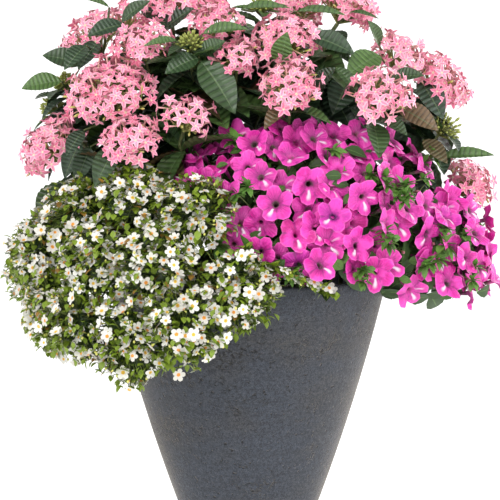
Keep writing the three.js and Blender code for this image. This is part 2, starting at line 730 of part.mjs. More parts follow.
function growBacopa(row, number) {
  const parts = [];
  row.sprays.forEach((s, k) => {
    const target = V(...s.at);
    const arrive = target.clone().sub(hangs(target) ? overRim(target) : V(row.foot[0], row.foot[1], SOIL_TOP));
    arrive.normalize();
    parts.push(spray(s, 900 + number * 2 + k));
    const paths = BENDS.map((bend) => stemPath(row.foot, target, arrive, bend));
    const stem = clearTube(paths, BACOPA_STEM, 3, 5);
    parts.push(stem.made);
  });
  return grownTogether(parts);
}

addNode("pot", potSolid(), MATERIALS.pot);
const planted = [
  ...BRANCHES.map(({ foot }) => ({ foot, radius: STEM_RADIUS })),
  ...PETUNIAS.map(({ foot }) => ({ foot, radius: SHOOT_RADIUS })),
  ...BACOPA.map(({ foot }) => ({ foot, radius: BACOPA_STEM })),
];
addNode("soil", soilSolid(planted), MATERIALS.soil);

Object.entries(HEADS).forEach(([name, row], i) => {
  addNode(`pentas_head_${name}`, head(row, i + 1), MATERIALS.pentasFlower);
});

const branches = BRANCHES.map((branch, i) => {
  const grown = growBranch(branch, i + 1);
  addNode(`pentas_stem_${i + 1}`, grown.made, MATERIALS.pentasLeaf);
  return grown;
});

const petunias = PETUNIAS.map((plant) => growBunches(plant).map((bunch) => {
  const number = nodes.filter((n) => n.name.startsWith("petunia_blooms")).length + 1;
  addNode(`petunia_blooms_${number}`, bunch.made, MATERIALS.petunia);
  return bunch;
}));
const greens = PETUNIAS.map((plant, i) => {
  const grown = growPetunia(plant, petunias[i], i + 1);
  addNode(`petunia_stem_${i + 1}`, grown.made, MATERIALS.petuniaLeaf);
  return grown;
});

BACOPA.forEach((row, i) => addNode(`bacopa_spray_${i + 1}`, growBacopa(row, i + 1), MATERIALS.bacopa));

// Leaves come last, into the room that is left.
// Each rule: how far up a main and a side shoot they stand, their lengths, and their width against that.
const PENTAS_LEAVES = { main: [0.5, 0.84, 0.26], side: [0.8], lengths: [84, 120], broad: 0.48 };
const PETUNIA_LEAVES = { side: [0.8], lengths: [46, 62], broad: 0.6 };
function addLeaves(name, shoots, rule) {
  const node = nodes.find((n) => n.name === name);
  for (const shoot of shoots) {
    const grown = leavesOn(shoot, rule, name);
    if (grown.length === 0) continue;
    node.made = grownTogether([node.made, ...grown]);
    node.box = node.made.boundingBox();
  }
}
branches.forEach(({ shoots }, i) => addLeaves(`pentas_stem_${i + 1}`, shoots, PENTAS_LEAVES));
greens.forEach(({ shoots }, i) => addLeaves(`petunia_stem_${i + 1}`, shoots, PETUNIA_LEAVES));

const part = new THREE.Group();
for (const { name, made, material } of nodes) {
  const mesh = new THREE.Mesh(geometryOf(made), material);
  mesh.name = name;
  part.add(mesh);
}
export default part;
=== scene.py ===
import math
from collections import namedtuple

import bmesh
import bpy
from mathutils import Matrix, Quaternion, Vector, noise
from mathutils.bvhtree import BVHTree


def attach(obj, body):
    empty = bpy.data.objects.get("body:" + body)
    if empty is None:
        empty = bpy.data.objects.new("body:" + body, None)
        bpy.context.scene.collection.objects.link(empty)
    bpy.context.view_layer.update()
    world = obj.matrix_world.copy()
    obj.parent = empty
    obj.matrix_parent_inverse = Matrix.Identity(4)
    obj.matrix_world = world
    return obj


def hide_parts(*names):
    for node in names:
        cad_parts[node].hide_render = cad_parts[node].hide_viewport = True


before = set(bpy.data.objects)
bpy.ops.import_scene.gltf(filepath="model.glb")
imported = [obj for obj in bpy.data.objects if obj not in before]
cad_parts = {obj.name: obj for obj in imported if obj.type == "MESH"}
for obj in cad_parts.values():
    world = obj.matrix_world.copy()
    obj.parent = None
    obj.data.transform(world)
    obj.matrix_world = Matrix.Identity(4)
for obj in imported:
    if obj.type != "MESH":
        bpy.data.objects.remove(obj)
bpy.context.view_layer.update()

MM = 0.001
UP = Vector((0, 0, 1))
TURN = 2 * math.pi
GOLDEN_ANGLE = math.radians(137.508)

# Pot and soil.
POT_HEIGHT = 360
RIM_RADIUS = 178
FOOT_RADIUS = 66
WALL_BULGE = 7.6
WALL = 7
POT_FLOOR = 10
SOIL_TOP = 332
SOIL_CROWN = 5
HOLE_DEPTH = 30

# Pentas heads: where each one's middle is, its radius, and how far its stalk leans in X and Y.
HEADS = {
    "left_large": ((-165, -90, 580), 43, (-0.3, -0.7)),
    "left_front": ((-137, -142, 527), 30, (-0.1, -0.9)),
    "loose_front": ((-72, -132, 551), 28, (0.3, -0.8)),
    "far_left": ((-241, -40, 516), 35, (-1, -0.5)),
    "high_left": ((-195, 0, 650), 36, (-0.8, -0.1)),
    "top_left": ((-161, 62, 677), 27, (-0.4, 0.2)),
    "crown_left": ((-96, -20, 689), 30, (-0.1, -0.2)),
    "upper_left": ((-127, -72, 640), 31, (-0.2, -0.5)),
    "crown_back": ((-52, 50, 690), 28, (0, 0.1)),
    "crown_middle": ((-38, -62, 662), 29, (0, -0.5)),
    "middle_front": ((-12, -98, 624), 25, (0.1, -0.7)),
    "upper_middle": ((47, -80, 646), 35, (0.1, -0.6)),
    "crown_right": ((62, 32, 690), 28, (0.2, 0.1)),
    "top_right": ((121, -10, 688), 34, (0.6, -0.2)),
    "low_middle": ((49, -150, 588), 31, (0, -0.9)),
    "low_right": ((153, -132, 577), 31, (0.2, -0.9)),
    "right_upper": ((184, -36, 630), 30, (0.4, -0.5)),
    "right_large": ((239, 0, 596), 35, (0.8, -0.3)),
    "far_right": ((281, 22, 470), 32, (1, -0.3)),
    "back_right": ((205, 108, 560), 33, (0.7, 0.6)),
    "back_middle": ((70, 172, 598), 35, (0.1, 0.9)),
    "back_left": ((-62, 165, 612), 33, (-0.2, 0.8)),
    "back_far_left": ((-182, 120, 548), 34, (-0.8, 0.6)),
}
# Green clusters of unopened buds.
BUD_HEADS = {
    "buds_middle": ((-68, -92, 640), 14, (0, -0.4)),
    "buds_left": ((-226, -20, 596), 13, (-0.5, -0.2)),
    "buds_far_left": ((-247, 16, 566), 14, (-0.7, -0.1)),
    "buds_right": ((244, -22, 540), 18, (0.9, -0.4)),
    "buds_top": ((18, -30, 690), 12, (0, -0.2)),
}
# Each branching stem: where it leaves the soil, and what it carries, its main shoot first.
BRANCHES = [
    ((-82, -8), ["far_left", "buds_far_left", "back_far_left"]),
    ((-60, -34), ["left_large", "left_front"]),
    ((-64, 36), ["high_left", "upper_left", "top_left", "buds_left"]),
    ((-26, 8), ["crown_left", "loose_front", "crown_middle", "buds_middle"]),
    ((4, 52), ["crown_back", "middle_front", "upper_middle", "buds_top"]),
    ((34, 4), ["top_right", "low_middle", "crown_right"]),
    ((78, 22), ["right_upper", "low_right", "right_large"]),
    ((96, 66), ["back_right", "far_right", "buds_right"]),
    ((-14, 100), ["back_middle", "back_left"]),
]
CORE_SHARE = 0.62
EDGE_DEPTH = 0.851
SEAT = 0.4
STEM_RADIUS = 3.4
SHOOT_RADIUS = 2.6
FORKS = (0.35, 0.1)
STEM_RISE = 22
STEM_APPROACH = 25
PENTAS_LEAVES = {"main": (0.5, 0.84, 0.26), "side": (0.8,), "lengths": (84, 120), "broad": 0.48}

# Petunias: two plants, one in front and one trailing over the right of the rim.
Mound = namedtuple("Mound", "seed centre radii count azimuths sines")
PETUNIA_FRONT = Mound(1000, (62, -46, 402), (196, 154, 162), 206, (-86, 82), (-0.16, 0.9))
PETUNIA_SIDE = Mound(2000, (188, -10, 372), (122, 140, 122), 118, (-22, 172), (-0.26, 0.72))
PETUNIAS = [
    (PETUNIA_FRONT, PETUNIA_SIDE, 7, (58, -72)),
    (PETUNIA_SIDE, PETUNIA_FRONT, 4, (118, -16)),
]
SKIN = 0.97
BLOOM_RADIUS = 20.5
HUB_DEPTH = 52
HUB_RADIUS = 6

# Bacopa: where each forking stem leaves the soil, then the middle of each spray and the way it faces.
BACOPA = [
    ((-122, -40), [((-252, -92, 398), (-0.8, -0.5, 0.5)), ((-232, -112, 328), (-0.8, -0.6, -0.1))]),
    ((-112, -66), [((-200, -112, 446), (-0.5, -0.5, 0.8)), ((-176, -176, 388), (-0.4, -0.9, 0.3))]),
    ((-92, -88), [((-130, -146, 462), (-0.1, -0.6, 0.9)), ((-134, -200, 298), (-0.5, -0.9, -0.1))]),
    ((-66, -104), [((-104, -204, 390), (-0.2, -1, 0.3)), ((-72, -220, 322), (-0.2, -1, -0.1))]),
    ((-34, -116), [((-62, -176, 446), (-0.1, -0.8, 0.6)), ((-14, -216, 360), (0.1, -1, 0))]),
    ((-128, -8), [((-268, -6, 372), (-1, 0, 0.3)), ((-222, 72, 384), (-0.9, 0.4, 0.4))]),
    ((-100, -36), [((-196, -164, 320), (-0.7, -0.8, -0.1)), ((-246, -32, 306), (-1, -0.1, -0.1))]),
]
BACOPA_STEM = 1.6


def draw(item, purpose):
    """The same number in 0..1 every time for one item and one purpose."""
    s = math.sin(item * 12.9898 + purpose * 78.233) * 43758.5453
    return s - math.floor(s)


def between(low, high, item, purpose):
    return low + (high - low) * draw(item, purpose)


def wobble(item, purpose):
    """A short way in any direction, the same every time for one item and one purpose."""
    return Vector([draw(item, purpose + k) - 0.5 for k in range(3)])


def smooth(low, high, x):
    """0 below low, 1 above high, and an even rise between."""
    t = min(max((x - low) / (high - low), 0), 1)
    return t * t * (3 - 2 * t)


# Frames and lines.
Frame = namedtuple("Frame", "origin across along n")


def frame_at(origin, direction, roll=0.0):
    """A right-handed frame whose third axis is the given direction, turned about it by roll."""
    n = direction.normalized()
    side = Vector((1, 0, 0)) if abs(n.z) > 0.95 else UP
    across = side.cross(n).normalized()
    across.rotate(Quaternion(n, roll))
    return Frame(origin, across, n.cross(across), n)


def leaf_frame(origin, direction, toward=UP):
    """A frame that grows along a direction, with its upper face up or turned towards another direction."""
    across = direction.normalized()
    n = (toward - across * across.dot(toward)).normalized()
    return Frame(origin, across, n.cross(across), n)


def in_frame(f, x, y, z):
    return f.origin + f.across * x + f.along * y + f.n * z


def stretch(x, y, z):
    return Matrix.Diagonal((x, y, z, 1))


def placed(f, size=1.0, broad=1.0):
    """The matrix that takes a shape from the origin into a frame."""
    turn = Matrix((f.across, f.along, f.n)).transposed().to_4x4()
    return Matrix.Translation(f.origin) @ turn @ stretch(size, size * broad, size)


def curve_point(points, t):
    """A point of the centripetal curve through the points."""
    last = len(points) - 1
    i = min(int(last * t), last - 1)
    w = last * t - i
    b, c = points[i], points[i + 1]
    a = points[i - 1] if i > 0 else 2 * b - c
    d = points[i + 2] if i + 2 <= last else 2 * c - b
    before, here, after = (math.sqrt((q - p).length) for p, q in ((a, b), (b, c), (c, d)))
    leave = ((b - a) / before - (c - a) / (before + here) + (c - b) / here) * here
    arrive = ((c - b) / here - (d - b) / (here + after) + (d - c) / after) * here
    return b + leave * w + (3 * (c - b) - 2 * leave - arrive) * w**2 + (2 * (b - c) + leave + arrive) * w**3


def spaced(points, steps):
    """Evenly spaced points along the curve through a few points."""
    fine = [curve_point(points, k / 100) for k in range(101)]
    reached = [0.0]
    for p, q in zip(fine, fine[1:]):
        reached.append(reached[-1] + (q - p).length)
    line, k = [], 0
    for step in range(steps + 1):
        goal = reached[-1] * step / steps
        while k < 99 and reached[k + 1] < goal:
            k += 1
        line.append(fine[k].lerp(fine[k + 1], (goal - reached[k]) / (reached[k + 1] - reached[k])))
    return line


def along_line(line, share):
    """The point a share of the way along a line of evenly spaced points, and the line's direction there."""
    place = share * (len(line) - 1)
    i = min(int(place), len(line) - 2)
    return line[i].lerp(line[i + 1], place - i), (line[i + 1] - line[i]).normalized()


def outward_at(p):
    """The level direction from the pot's middle towards a point."""
    return Vector((p.x, p.y, 0)).normalized()


def over_rim(target):
    share = (RIM_RADIUS - 6) / math.hypot(target.x, target.y)
    return Vector((target.x * share, target.y * share, POT_HEIGHT + 16))


def hangs(target):
    return math.hypot(target.x, target.y) > RIM_RADIUS - 20 and target.z < POT_HEIGHT + 40


def stem_path(foot, target, arrive, bend):
    """A stem's way from the soil to what it carries, over the rim where that hangs below it."""
    start = Vector((*foot, SOIL_TOP - HOLE_DEPTH + 0.3))
    rise = Vector((*foot, SOIL_TOP + STEM_RISE))
    middle = over_rim(target) if hangs(target) else rise.lerp(target, 0.5)
    return [start, Vector((*foot, SOIL_TOP)), rise, middle + bend, target - arrive * STEM_APPROACH, target]


BENDS = [Vector((0, 0, 12))] + [
    Vector((far * math.sin(k * math.pi / 4), far * math.cos(k * math.pi / 4), 12 + far * 0.2))
    for far in (25, 45, 65, 90, 120)
    for k in range(8)
]


def surface_of(node):
    """A tree for finding the nearest point of a CAD node."""
    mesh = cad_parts[node].data
    return BVHTree.FromPolygons([v.co / MM for v in mesh.vertices], [p.vertices for p in mesh.polygons])


def distance(tree, points):
    """How far the furthest of some points is from a CAD node's surface."""
    return max(tree.find_nearest(p)[3] for p in points)


def followed(tree, paths, steps):
    """Of many paths, the one that the CAD node's own stem follows."""
    return min(paths, key=lambda path: distance(tree, spaced(path, steps)))


# Small shapes, each a mesh with a UV map and a tone that is set on every copy.
def strip(rows, columns):
    """A grid of quads from 0 to 1 in X and in Y, with its UV map."""
    bm = bmesh.new()
    uv = bm.loops.layers.uv.new("UVMap")
    bmesh.ops.create_grid(bm, x_segments=rows, y_segments=columns, size=0.5)
    bmesh.ops.translate(bm, verts=bm.verts, vec=(0.5, 0.5, 0))
    for face in bm.faces:
        face.smooth = True
        for loop in face.loops:
            loop[uv].uv = loop.vert.co.xy
    return bm


def shaped(name, rows, columns, place, copies=1):
    """A strip with every point moved to place(u, v), repeated evenly about Z."""
    bm = strip(rows, columns)
    for v in bm.verts:
        v.co = place(v.co.x, v.co.y)
    one = finished_shape(name + "_one", bm)
    if copies == 1:
        return one
    ring = bmesh.new()
    for k in range(copies):
        turned = one.copy()
        turned.transform(Matrix.Rotation(TURN * k / copies, 4, "Z"))
        ring.from_mesh(turned)
        bpy.data.meshes.remove(turned)
    return finished_shape(name, ring)


def as_mesh(name, bm):
    mesh = bpy.data.meshes.new(name)
    bm.to_mesh(mesh)
    bm.free()
    return mesh


def linked(name, data):
    """A new object in the scene."""
    made = bpy.data.objects.new(name, data)
    bpy.context.scene.collection.objects.link(made)
    return made


def finished_shape(name, bm):
    bmesh.ops.remove_doubles(bm, verts=bm.verts, dist=1e-4)
    if "tone" not in bm.verts.layers.float:
        bm.verts.layers.float.new("tone")
    bm.loops.layers.uv.verify()
    return as_mesh(name, bm)


def joined(name, shapes):
    """Shapes put together in one, the faces of each with its own place in the list of materials."""
    bm = bmesh.new()
    for slot, shape in enumerate(shapes):
        known = len(bm.faces)
        bm.from_mesh(shape)
        bm.faces.ensure_lookup_table()
        for face in bm.faces[known:]:
            face.material_index = slot
    return finished_shape(name, bm)


FLORET_TUBE = 18
BLOOM_TUBE = 26


def star_lobe(spread_out, lift):
    """A floret's pointed lobe, with raised edges."""
    halves = (0.9, 2.6, 2.0, 0.0)

    def place(u, v):
        side = 2 * v - 1
        x = 0.2 + 10.8 * u * spread_out
        trough = 0.6 * abs(side) * (1 - u) - 0.5 * (1 - smooth(0, 0.3, u))
        return Vector((x, side * halves[round(u * 3)], trough + lift * u - 1.2 * u * u))

    return place


def round_point(radius, v, z):
    return Vector((radius * math.cos(TURN * v), -radius * math.sin(TURN * v), z))


def floret_tube(u, v):
    return round_point(0.7 + 0.6 * smooth(0.4, 1, u), v, FLORET_TUBE * (u - 1))


def club(u, v):
    """A closed bud on its slim tube."""
    radius = 0.5 + 1.3 * math.sin(math.pi * smooth(0.45, 1.0, u)) if u < 1 else 0
    return round_point(radius, v, FLORET_TUBE * (u - 1) + 2)


# Round one lobe from the notch before it: how far out its edge reaches, and how much it stands up.
LOBE_EDGE = (0.76, 0.99, 1.06, 0.97)
LOBE_FOLD = (-3.6, 0.9, 1.3, 0.4)
LOBE_COLUMNS = len(LOBE_EDGE)
BLOOM_PROFILE = [(1.6, -BLOOM_TUBE), (2.9, -6), (7.2, -2.2), (13.8, -0.2), (BLOOM_RADIUS, 0)]
BLOOM_ROWS = len(BLOOM_PROFILE) - 1


def bloom_face(variant):
    """A petunia: a slim tube that opens into five broad, wavy lobes with notches between them."""

    def place(u, v):
        column = round(v * 5 * LOBE_COLUMNS) % (5 * LOBE_COLUMNS)
        lobe, place_in_lobe = divmod(column, LOBE_COLUMNS)
        angle = TURN * (v - 0.1)
        radius, height = BLOOM_PROFILE[round(u * BLOOM_ROWS)]
        opened = smooth(3, BLOOM_RADIUS, radius)
        radius *= 1 - (1 - LOBE_EDGE[place_in_lobe]) * opened
        bend = between(-6, 3.5, variant, 200 + lobe)
        if place_in_lobe == 0:
            bend = (bend + between(-6, 3.5, variant, 200 + (lobe - 1) % 5)) / 2
        wave = between(-2.4, 2.4, variant, 300 + column) * max(2.6 * u - 1.6, 0)
        height += opened * (LOBE_FOLD[place_in_lobe] + bend * opened + wave)
        return Vector((radius * math.cos(angle), radius * math.sin(angle), height))

    return place


def bacopa_petal(lift):
    """A rounded lobe, narrow where it leaves the eye."""
    halves = (0.9, 1.8, 2.7, 2.7, 1.3)

    def place(u, v):
        side = 2 * v - 1
        half = halves[round(u * 4)]
        return Vector((0.5 + 7.0 * u, side * half, 0.35 * side * side * half * u + lift * u - 0.8 * u * u))

    return place


def small_leaf(halves, broad, fold, droop):
    """A leaf of five rows of points, each with its share of the greatest width."""

    def place(u, v):
        side = 2 * v - 1
        half = halves[round(u * 4)] * broad
        return Vector((u, side * half, fold * abs(side) * half - droop * u * u))

    return place


VEIN_PAIRS = 9


def ribbed_leaf(droop):
    """A long pointed leaf. Its rows of points lie along the side veins, and every second row is sunken."""

    def place(u, v):
        side = 2 * v - 1
        outline = max(u**0.6 * (1 - u) ** 0.85 / 0.374, 0.035)
        row = round(u * 2 * VEIN_PAIRS)
        pleat = (0.008 if row % 2 else -0.008) * min(abs(side) * 3, 1) * outline
        x = u + 0.13 * abs(side) * outline * (1 - u)
        z = 0.2 * abs(side) * 0.5 * outline + pleat - droop * x * x
        return Vector((x, side * 0.5 * outline, z))

    return place


def sepals(u, v):
    side = 2 * v - 1
    return Vector((1.4 + 5 * u, side * 1.3 * (1 - 0.85 * u), 9 * u - BLOOM_TUBE + 1))


def ball(name, subdivisions, rough=0.0):
    """A ball of one radius, lumpy where rough is more than 0."""
    bm = bmesh.new()
    bmesh.ops.create_icosphere(bm, subdivisions=subdivisions, radius=1.0)
    for v in bm.verts:
        v.co *= 1 + rough * noise.noise(v.co * 1.7)
    for face in bm.faces:
        face.smooth = True
    return finished_shape(name, bm)


TUBE = shaped("tube", 2, 5, floret_tube)
FLORETS = [
    joined(f"floret_{k}", [shaped(f"lobes_{k}", 3, 2, star_lobe(spread_out, lift), 5), TUBE])
    for k, (spread_out, lift) in enumerate([(1.0, 0.6), (0.97, 1.8), (0.9, -2.2), (0.74, 5.0), (0.9, 3.2)])
]
CLOSED_FLORET = shaped("closed_floret", 5, 4, club)
BLOOMS = [shaped(f"bloom_{k}", BLOOM_ROWS, 5 * LOBE_COLUMNS, bloom_face(k)) for k in range(10)]
CALYX = shaped("calyx", 2, 2, sepals, 5)
BACOPA_FLOWERS = [
    shaped(f"bacopa_flower_{k}", 4, 2, bacopa_petal(lift), 5) for k, lift in enumerate([0.8, 2.2, -0.6, 4.6])
]
BACOPA_LEAF = shaped("bacopa_leaf", 4, 2, small_leaf((0.1, 0.8, 1.0, 0.7, 0.1), 0.36, 0.3, 0.2))
PETUNIA_LEAF = shaped("petunia_leaf", 4, 2, small_leaf((0.12, 0.8, 1.0, 0.72, 0.08), 0.26, 0.35, 0.24))
DROOPS = (0.05, 0.15, 0.25, 0.35, 0.45)
PENTAS_LEAF = [shaped(f"pentas_leaf_{k}", 2 * VEIN_PAIRS, 4, ribbed_leaf(d)) for k, d in enumerate(DROOPS)]
BUD_BALL = ball("bud_ball", 1)
LUMP = ball("lump", 1, 0.35)
SHADE_CORE = ball("shade_core", 3, 0.45)


def stamp(bm, shape, matrix, tone, slot=None):
    """Adds a copy of a shape."""
    copy = shape.copy()
    copy.transform(matrix)
    copy.attributes["tone"].data.foreach_set("value", [tone] * len(copy.vertices))
    if slot is not None:
        copy.polygons.foreach_set("material_index", [slot] * len(copy.polygons))
    bm.from_mesh(copy)
    bpy.data.meshes.remove(copy)


def add_stalks(bm, stalks, slot, sides=0):
    """Adds round stalks: each a line of points and its radius at its two ends."""
    if not stalks:
        return
    curve = bpy.data.curves.new("stalks", "CURVE")
    curve.dimensions = "3D"
    curve.bevel_depth = 1.0
    curve.bevel_resolution = sides
    curve.use_fill_caps = True
    for line, start, end in stalks:
        spline = curve.splines.new("POLY")
        spline.points.add(len(line) - 1)
        for k, p in enumerate(line):
            spline.points[k].co = (*p, 1)
            spline.points[k].radius = start + (end - start) * k / (len(line) - 1)
    holder = linked("stalks", curve)
    mesh = bpy.data.meshes.new_from_object(holder.evaluated_get(bpy.context.evaluated_depsgraph_get()))
    bpy.data.objects.remove(holder)
    mesh.polygons.foreach_set("material_index", [slot] * len(mesh.polygons))
    mesh.polygons.foreach_set("use_smooth", [True] * len(mesh.polygons))
    bm.from_mesh(mesh)
    bpy.data.meshes.remove(mesh)


def growth():
    """An empty mesh that knows the UV map and the tone."""
    bm = bmesh.new()
    bm.from_mesh(BUD_BALL)
    bm.clear()
    return bm


def finish_piece(name, bm, materials, node):
    """Makes a piece of a mesh in millimetres, riding on the pot's body in place of a CAD node."""
    bmesh.ops.scale(bm, verts=bm.verts, vec=(MM, MM, MM))
    piece = linked(name, as_mesh(name, bm))
    for material in materials:
        piece.data.materials.append(material)
    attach(piece, "root")
    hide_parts(node)
    return piece


# Materials.
class Finish:
    """A material under construction. Most methods add nodes and give their output."""

    def __init__(self, name, **sockets):
        self.material = bpy.data.materials.new(name)
        self.material.use_nodes = True
        self.tree = self.material.node_tree
        self.shader = self.tree.nodes["Principled BSDF"]
        for socket, value in sockets.items():
            self.shader.inputs[socket.replace("_", " ").title().replace("Ior", "IOR")].default_value = value

    def add(self, kind, inputs=(), **settings):
        node = self.tree.nodes.new(kind)
        for key, value in settings.items():
            setattr(node, key, value)
        for key, value in dict(inputs).items():
            if isinstance(value, bpy.types.NodeSocket):
                self.tree.links.new(value, node.inputs[key])
            else:
                node.inputs[key].default_value = value
        return node

    def place(self):
        return self.add("ShaderNodeTexCoord").outputs["Object"]

    def stretched(self, x, y, z):
        """Object coordinates, scaled along each axis."""
        return self.add("ShaderNodeMapping", {"Vector": self.place(), "Scale": (x, y, z)}).outputs[0]

    def uv(self):
        """How far along and across the shape, each from 0 to 1."""
        node = self.add("ShaderNodeSeparateXYZ", {0: self.add("ShaderNodeUVMap", uv_map="UVMap").outputs[0]})
        return node.outputs[0], node.outputs[1]

    def blade(self):
        """How far along the shape, and how far from its middle line, each from 0 to 1."""
        u, v = self.uv()
        return u, self.apart(self.times(v, 2.0), 1.0)

    def tone(self):
        return self.add("ShaderNodeAttribute", attribute_name="tone").outputs["Fac"]

    def noise(self, scale, detail=3, roughness=0.6, vector=None):
        inputs = {"Vector": vector or self.place(), "Scale": scale, "Detail": detail, "Roughness": roughness}
        return self.add("ShaderNodeTexNoise", inputs).outputs["Fac"]

    def math(self, operation, a, b=0.0, clamp=False):
        return self.add("ShaderNodeMath", {0: a, 1: b}, operation=operation, use_clamp=clamp).outputs[0]

    def times(self, a, b):
        return self.math("MULTIPLY", a, b)

    def apart(self, a, b):
        return self.math("ABSOLUTE", self.math("SUBTRACT", a, b))

    def range(self, value, low, high, to_low=0.0, to_high=1.0):
        """A value's place between two others, smoothed and clamped."""
        inputs = {"Value": value, "From Min": low, "From Max": high, "To Min": to_low, "To Max": to_high}
        return self.add("ShaderNodeMapRange", inputs, interpolation_type="SMOOTHSTEP").outputs[0]

    def ramp(self, factor, stops):
        node = self.add("ShaderNodeValToRGB", {0: factor})
        ramp = node.color_ramp
        while len(ramp.elements) < len(stops):
            ramp.elements.new(0.5)
        for element, (position, colour) in zip(ramp.elements, stops):
            element.position = position
            element.color = (*colour, 1)
        return node.outputs[0]

    def mix(self, factor, a, b, blend="MIX"):
        node = self.add("ShaderNodeMix", data_type="RGBA", blend_type=blend)
        for socket, value in ((0, factor), (6, a), (7, b)):
            if isinstance(value, bpy.types.NodeSocket):
                self.tree.links.new(value, node.inputs[socket])
            else:
                node.inputs[socket].default_value = (*value, 1) if isinstance(value, tuple) else value
        return node.outputs[2]

    def layered(self, colour, *layers):
        """Lays colours over another, each by a value's place between two others and up to a share."""
        for value, low, high, share, over in layers:
            colour = self.mix(self.range(value, low, high, 0, share), colour, over)
        return colour

    def bump(self, height, distance, strength=1.0):
        node = self.add("ShaderNodeBump", {"Height": height, "Distance": distance, "Strength": strength})
        self.tree.links.new(node.outputs[0], self.shader.inputs["Normal"])

    def done(self, colour, roughness=None):
        self.tree.links.new(colour, self.shader.inputs["Base Color"])
        if roughness is not None:
            self.tree.links.new(roughness, self.shader.inputs["Roughness"])
        return self.material


def pot_finish():
    """Dark slate-blue clay with grey-brown clouds, fine speckles, dark pits and faint throwing lines."""
    f = Finish("slate_blue_clay", sheen_weight=0.4, sheen_roughness=0.3, sheen_tint=(1.0, 0.88, 0.74, 1))
    f.shader.inputs["Specular IOR Level"].default_value = 0.35
    clouds = f.noise(7, 5, 0.65, f.stretched(1, 1, 1.6))
    grain = f.noise(300, 4, 0.75)
    speckle = f.noise(900, 2, 0.6)
    lines = f.noise(1, 3, 0.6, f.stretched(4, 4, 260))
    patches = f.range(f.noise(15, 4, 0.65), 0.48, 0.66)
    pits = f.times(f.range(f.noise(210, 4, 0.7), 0.52, 0.62), patches)
    pits = f.math("MAXIMUM", pits, f.range(f.noise(170, 2, 0.5), 0.66, 0.72))
    colour = f.layered(
        (0.038, 0.048, 0.067),
        (clouds, 0.42, 0.66, 1, (0.053, 0.051, 0.049)),
        (grain, 0.38, 0.58, 0.85, (0.017, 0.02, 0.027)),
        (speckle, 0.5, 0.64, 0.55, (0.115, 0.122, 0.14)),
        (lines, 0.45, 0.7, 0.25, (0.018, 0.02, 0.024)),
    )
    colour = f.mix(f.times(pits, 0.85), colour, (0.007, 0.007, 0.008))
    f.bump(f.math("SUBTRACT", f.times(grain, 0.5), pits), 0.0012, 0.8)
    return f.done(colour, f.range(grain, 0.3, 0.7, 0.5, 0.74))


def soil_finish():
    f = Finish("potting_soil", roughness=0.95)
    crumbs = f.noise(160, 6, 0.75)
    stops = [(0.3, (0.012, 0.008, 0.005)), (0.55, (0.04, 0.024, 0.014)), (0.75, (0.1, 0.065, 0.04))]
    colour = f.ramp(crumbs, stops)
    f.bump(crumbs, 0.004, 0.9)
    return f.done(colour)


def chip_finish(name, dark, light):
    f = Finish(name, roughness=0.9)
    grain = f.noise(600, 4, 0.7)
    f.bump(grain, 0.0006, 0.8)
    return f.done(f.mix(grain, dark, light))


def floret_finish():
    """Pink lobes with a deeper stripe down the middle, pale edges and a cream eye."""
    f = Finish("pentas_pink", roughness=0.5, sheen_weight=0.2)
    u, side = f.blade()
    light = f.layered((0.84, 0.20, 0.34), (side, 0.1, 0.9, 1, (0.96, 0.49, 0.60)))
    deep = f.layered((0.72, 0.09, 0.22), (side, 0.1, 0.9, 1, (0.90, 0.31, 0.45)))
    f.bump(side, 0.0004, 0.4)
    return f.done(f.layered(
        deep,
        (f.tone(), 0.05, 0.8, 1, light),
        (u, 0.16, 0.0, 1, (0.80, 0.74, 0.48)),
        # Painted highlights: fine whitish flecks over the lobes.
        (f.noise(900, 2), 0.4, 0.75, 0.3, (0.96, 0.7, 0.76)),
    ))


def tube_finish(name, roughness, stops, grain, over):
    """A colour that changes along the shape, with patches of another."""
    f = Finish(name, roughness=roughness)
    scale, low, high, share = grain
    return f.done(f.layered(f.ramp(f.uv()[0], stops), (f.noise(scale), low, high, share, over)))


def bud_finish():
    """Yellow-green at the foot to pinkish at the tip."""
    f = Finish("pentas_bud", roughness=0.5)
    u = f.uv()[0]
    young = f.ramp(u, [(0.3, (0.26, 0.33, 0.05)), (0.7, (0.52, 0.52, 0.12)), (1.0, (0.62, 0.5, 0.2))])
    ripe = f.ramp(u, [(0.3, (0.45, 0.4, 0.15)), (0.6, (0.78, 0.3, 0.32)), (1.0, (0.7, 0.12, 0.22))])
    return f.done(f.layered(young, (f.tone(), 0.45, 0.6, 1, ripe)))


PETAL_VEINS = 30


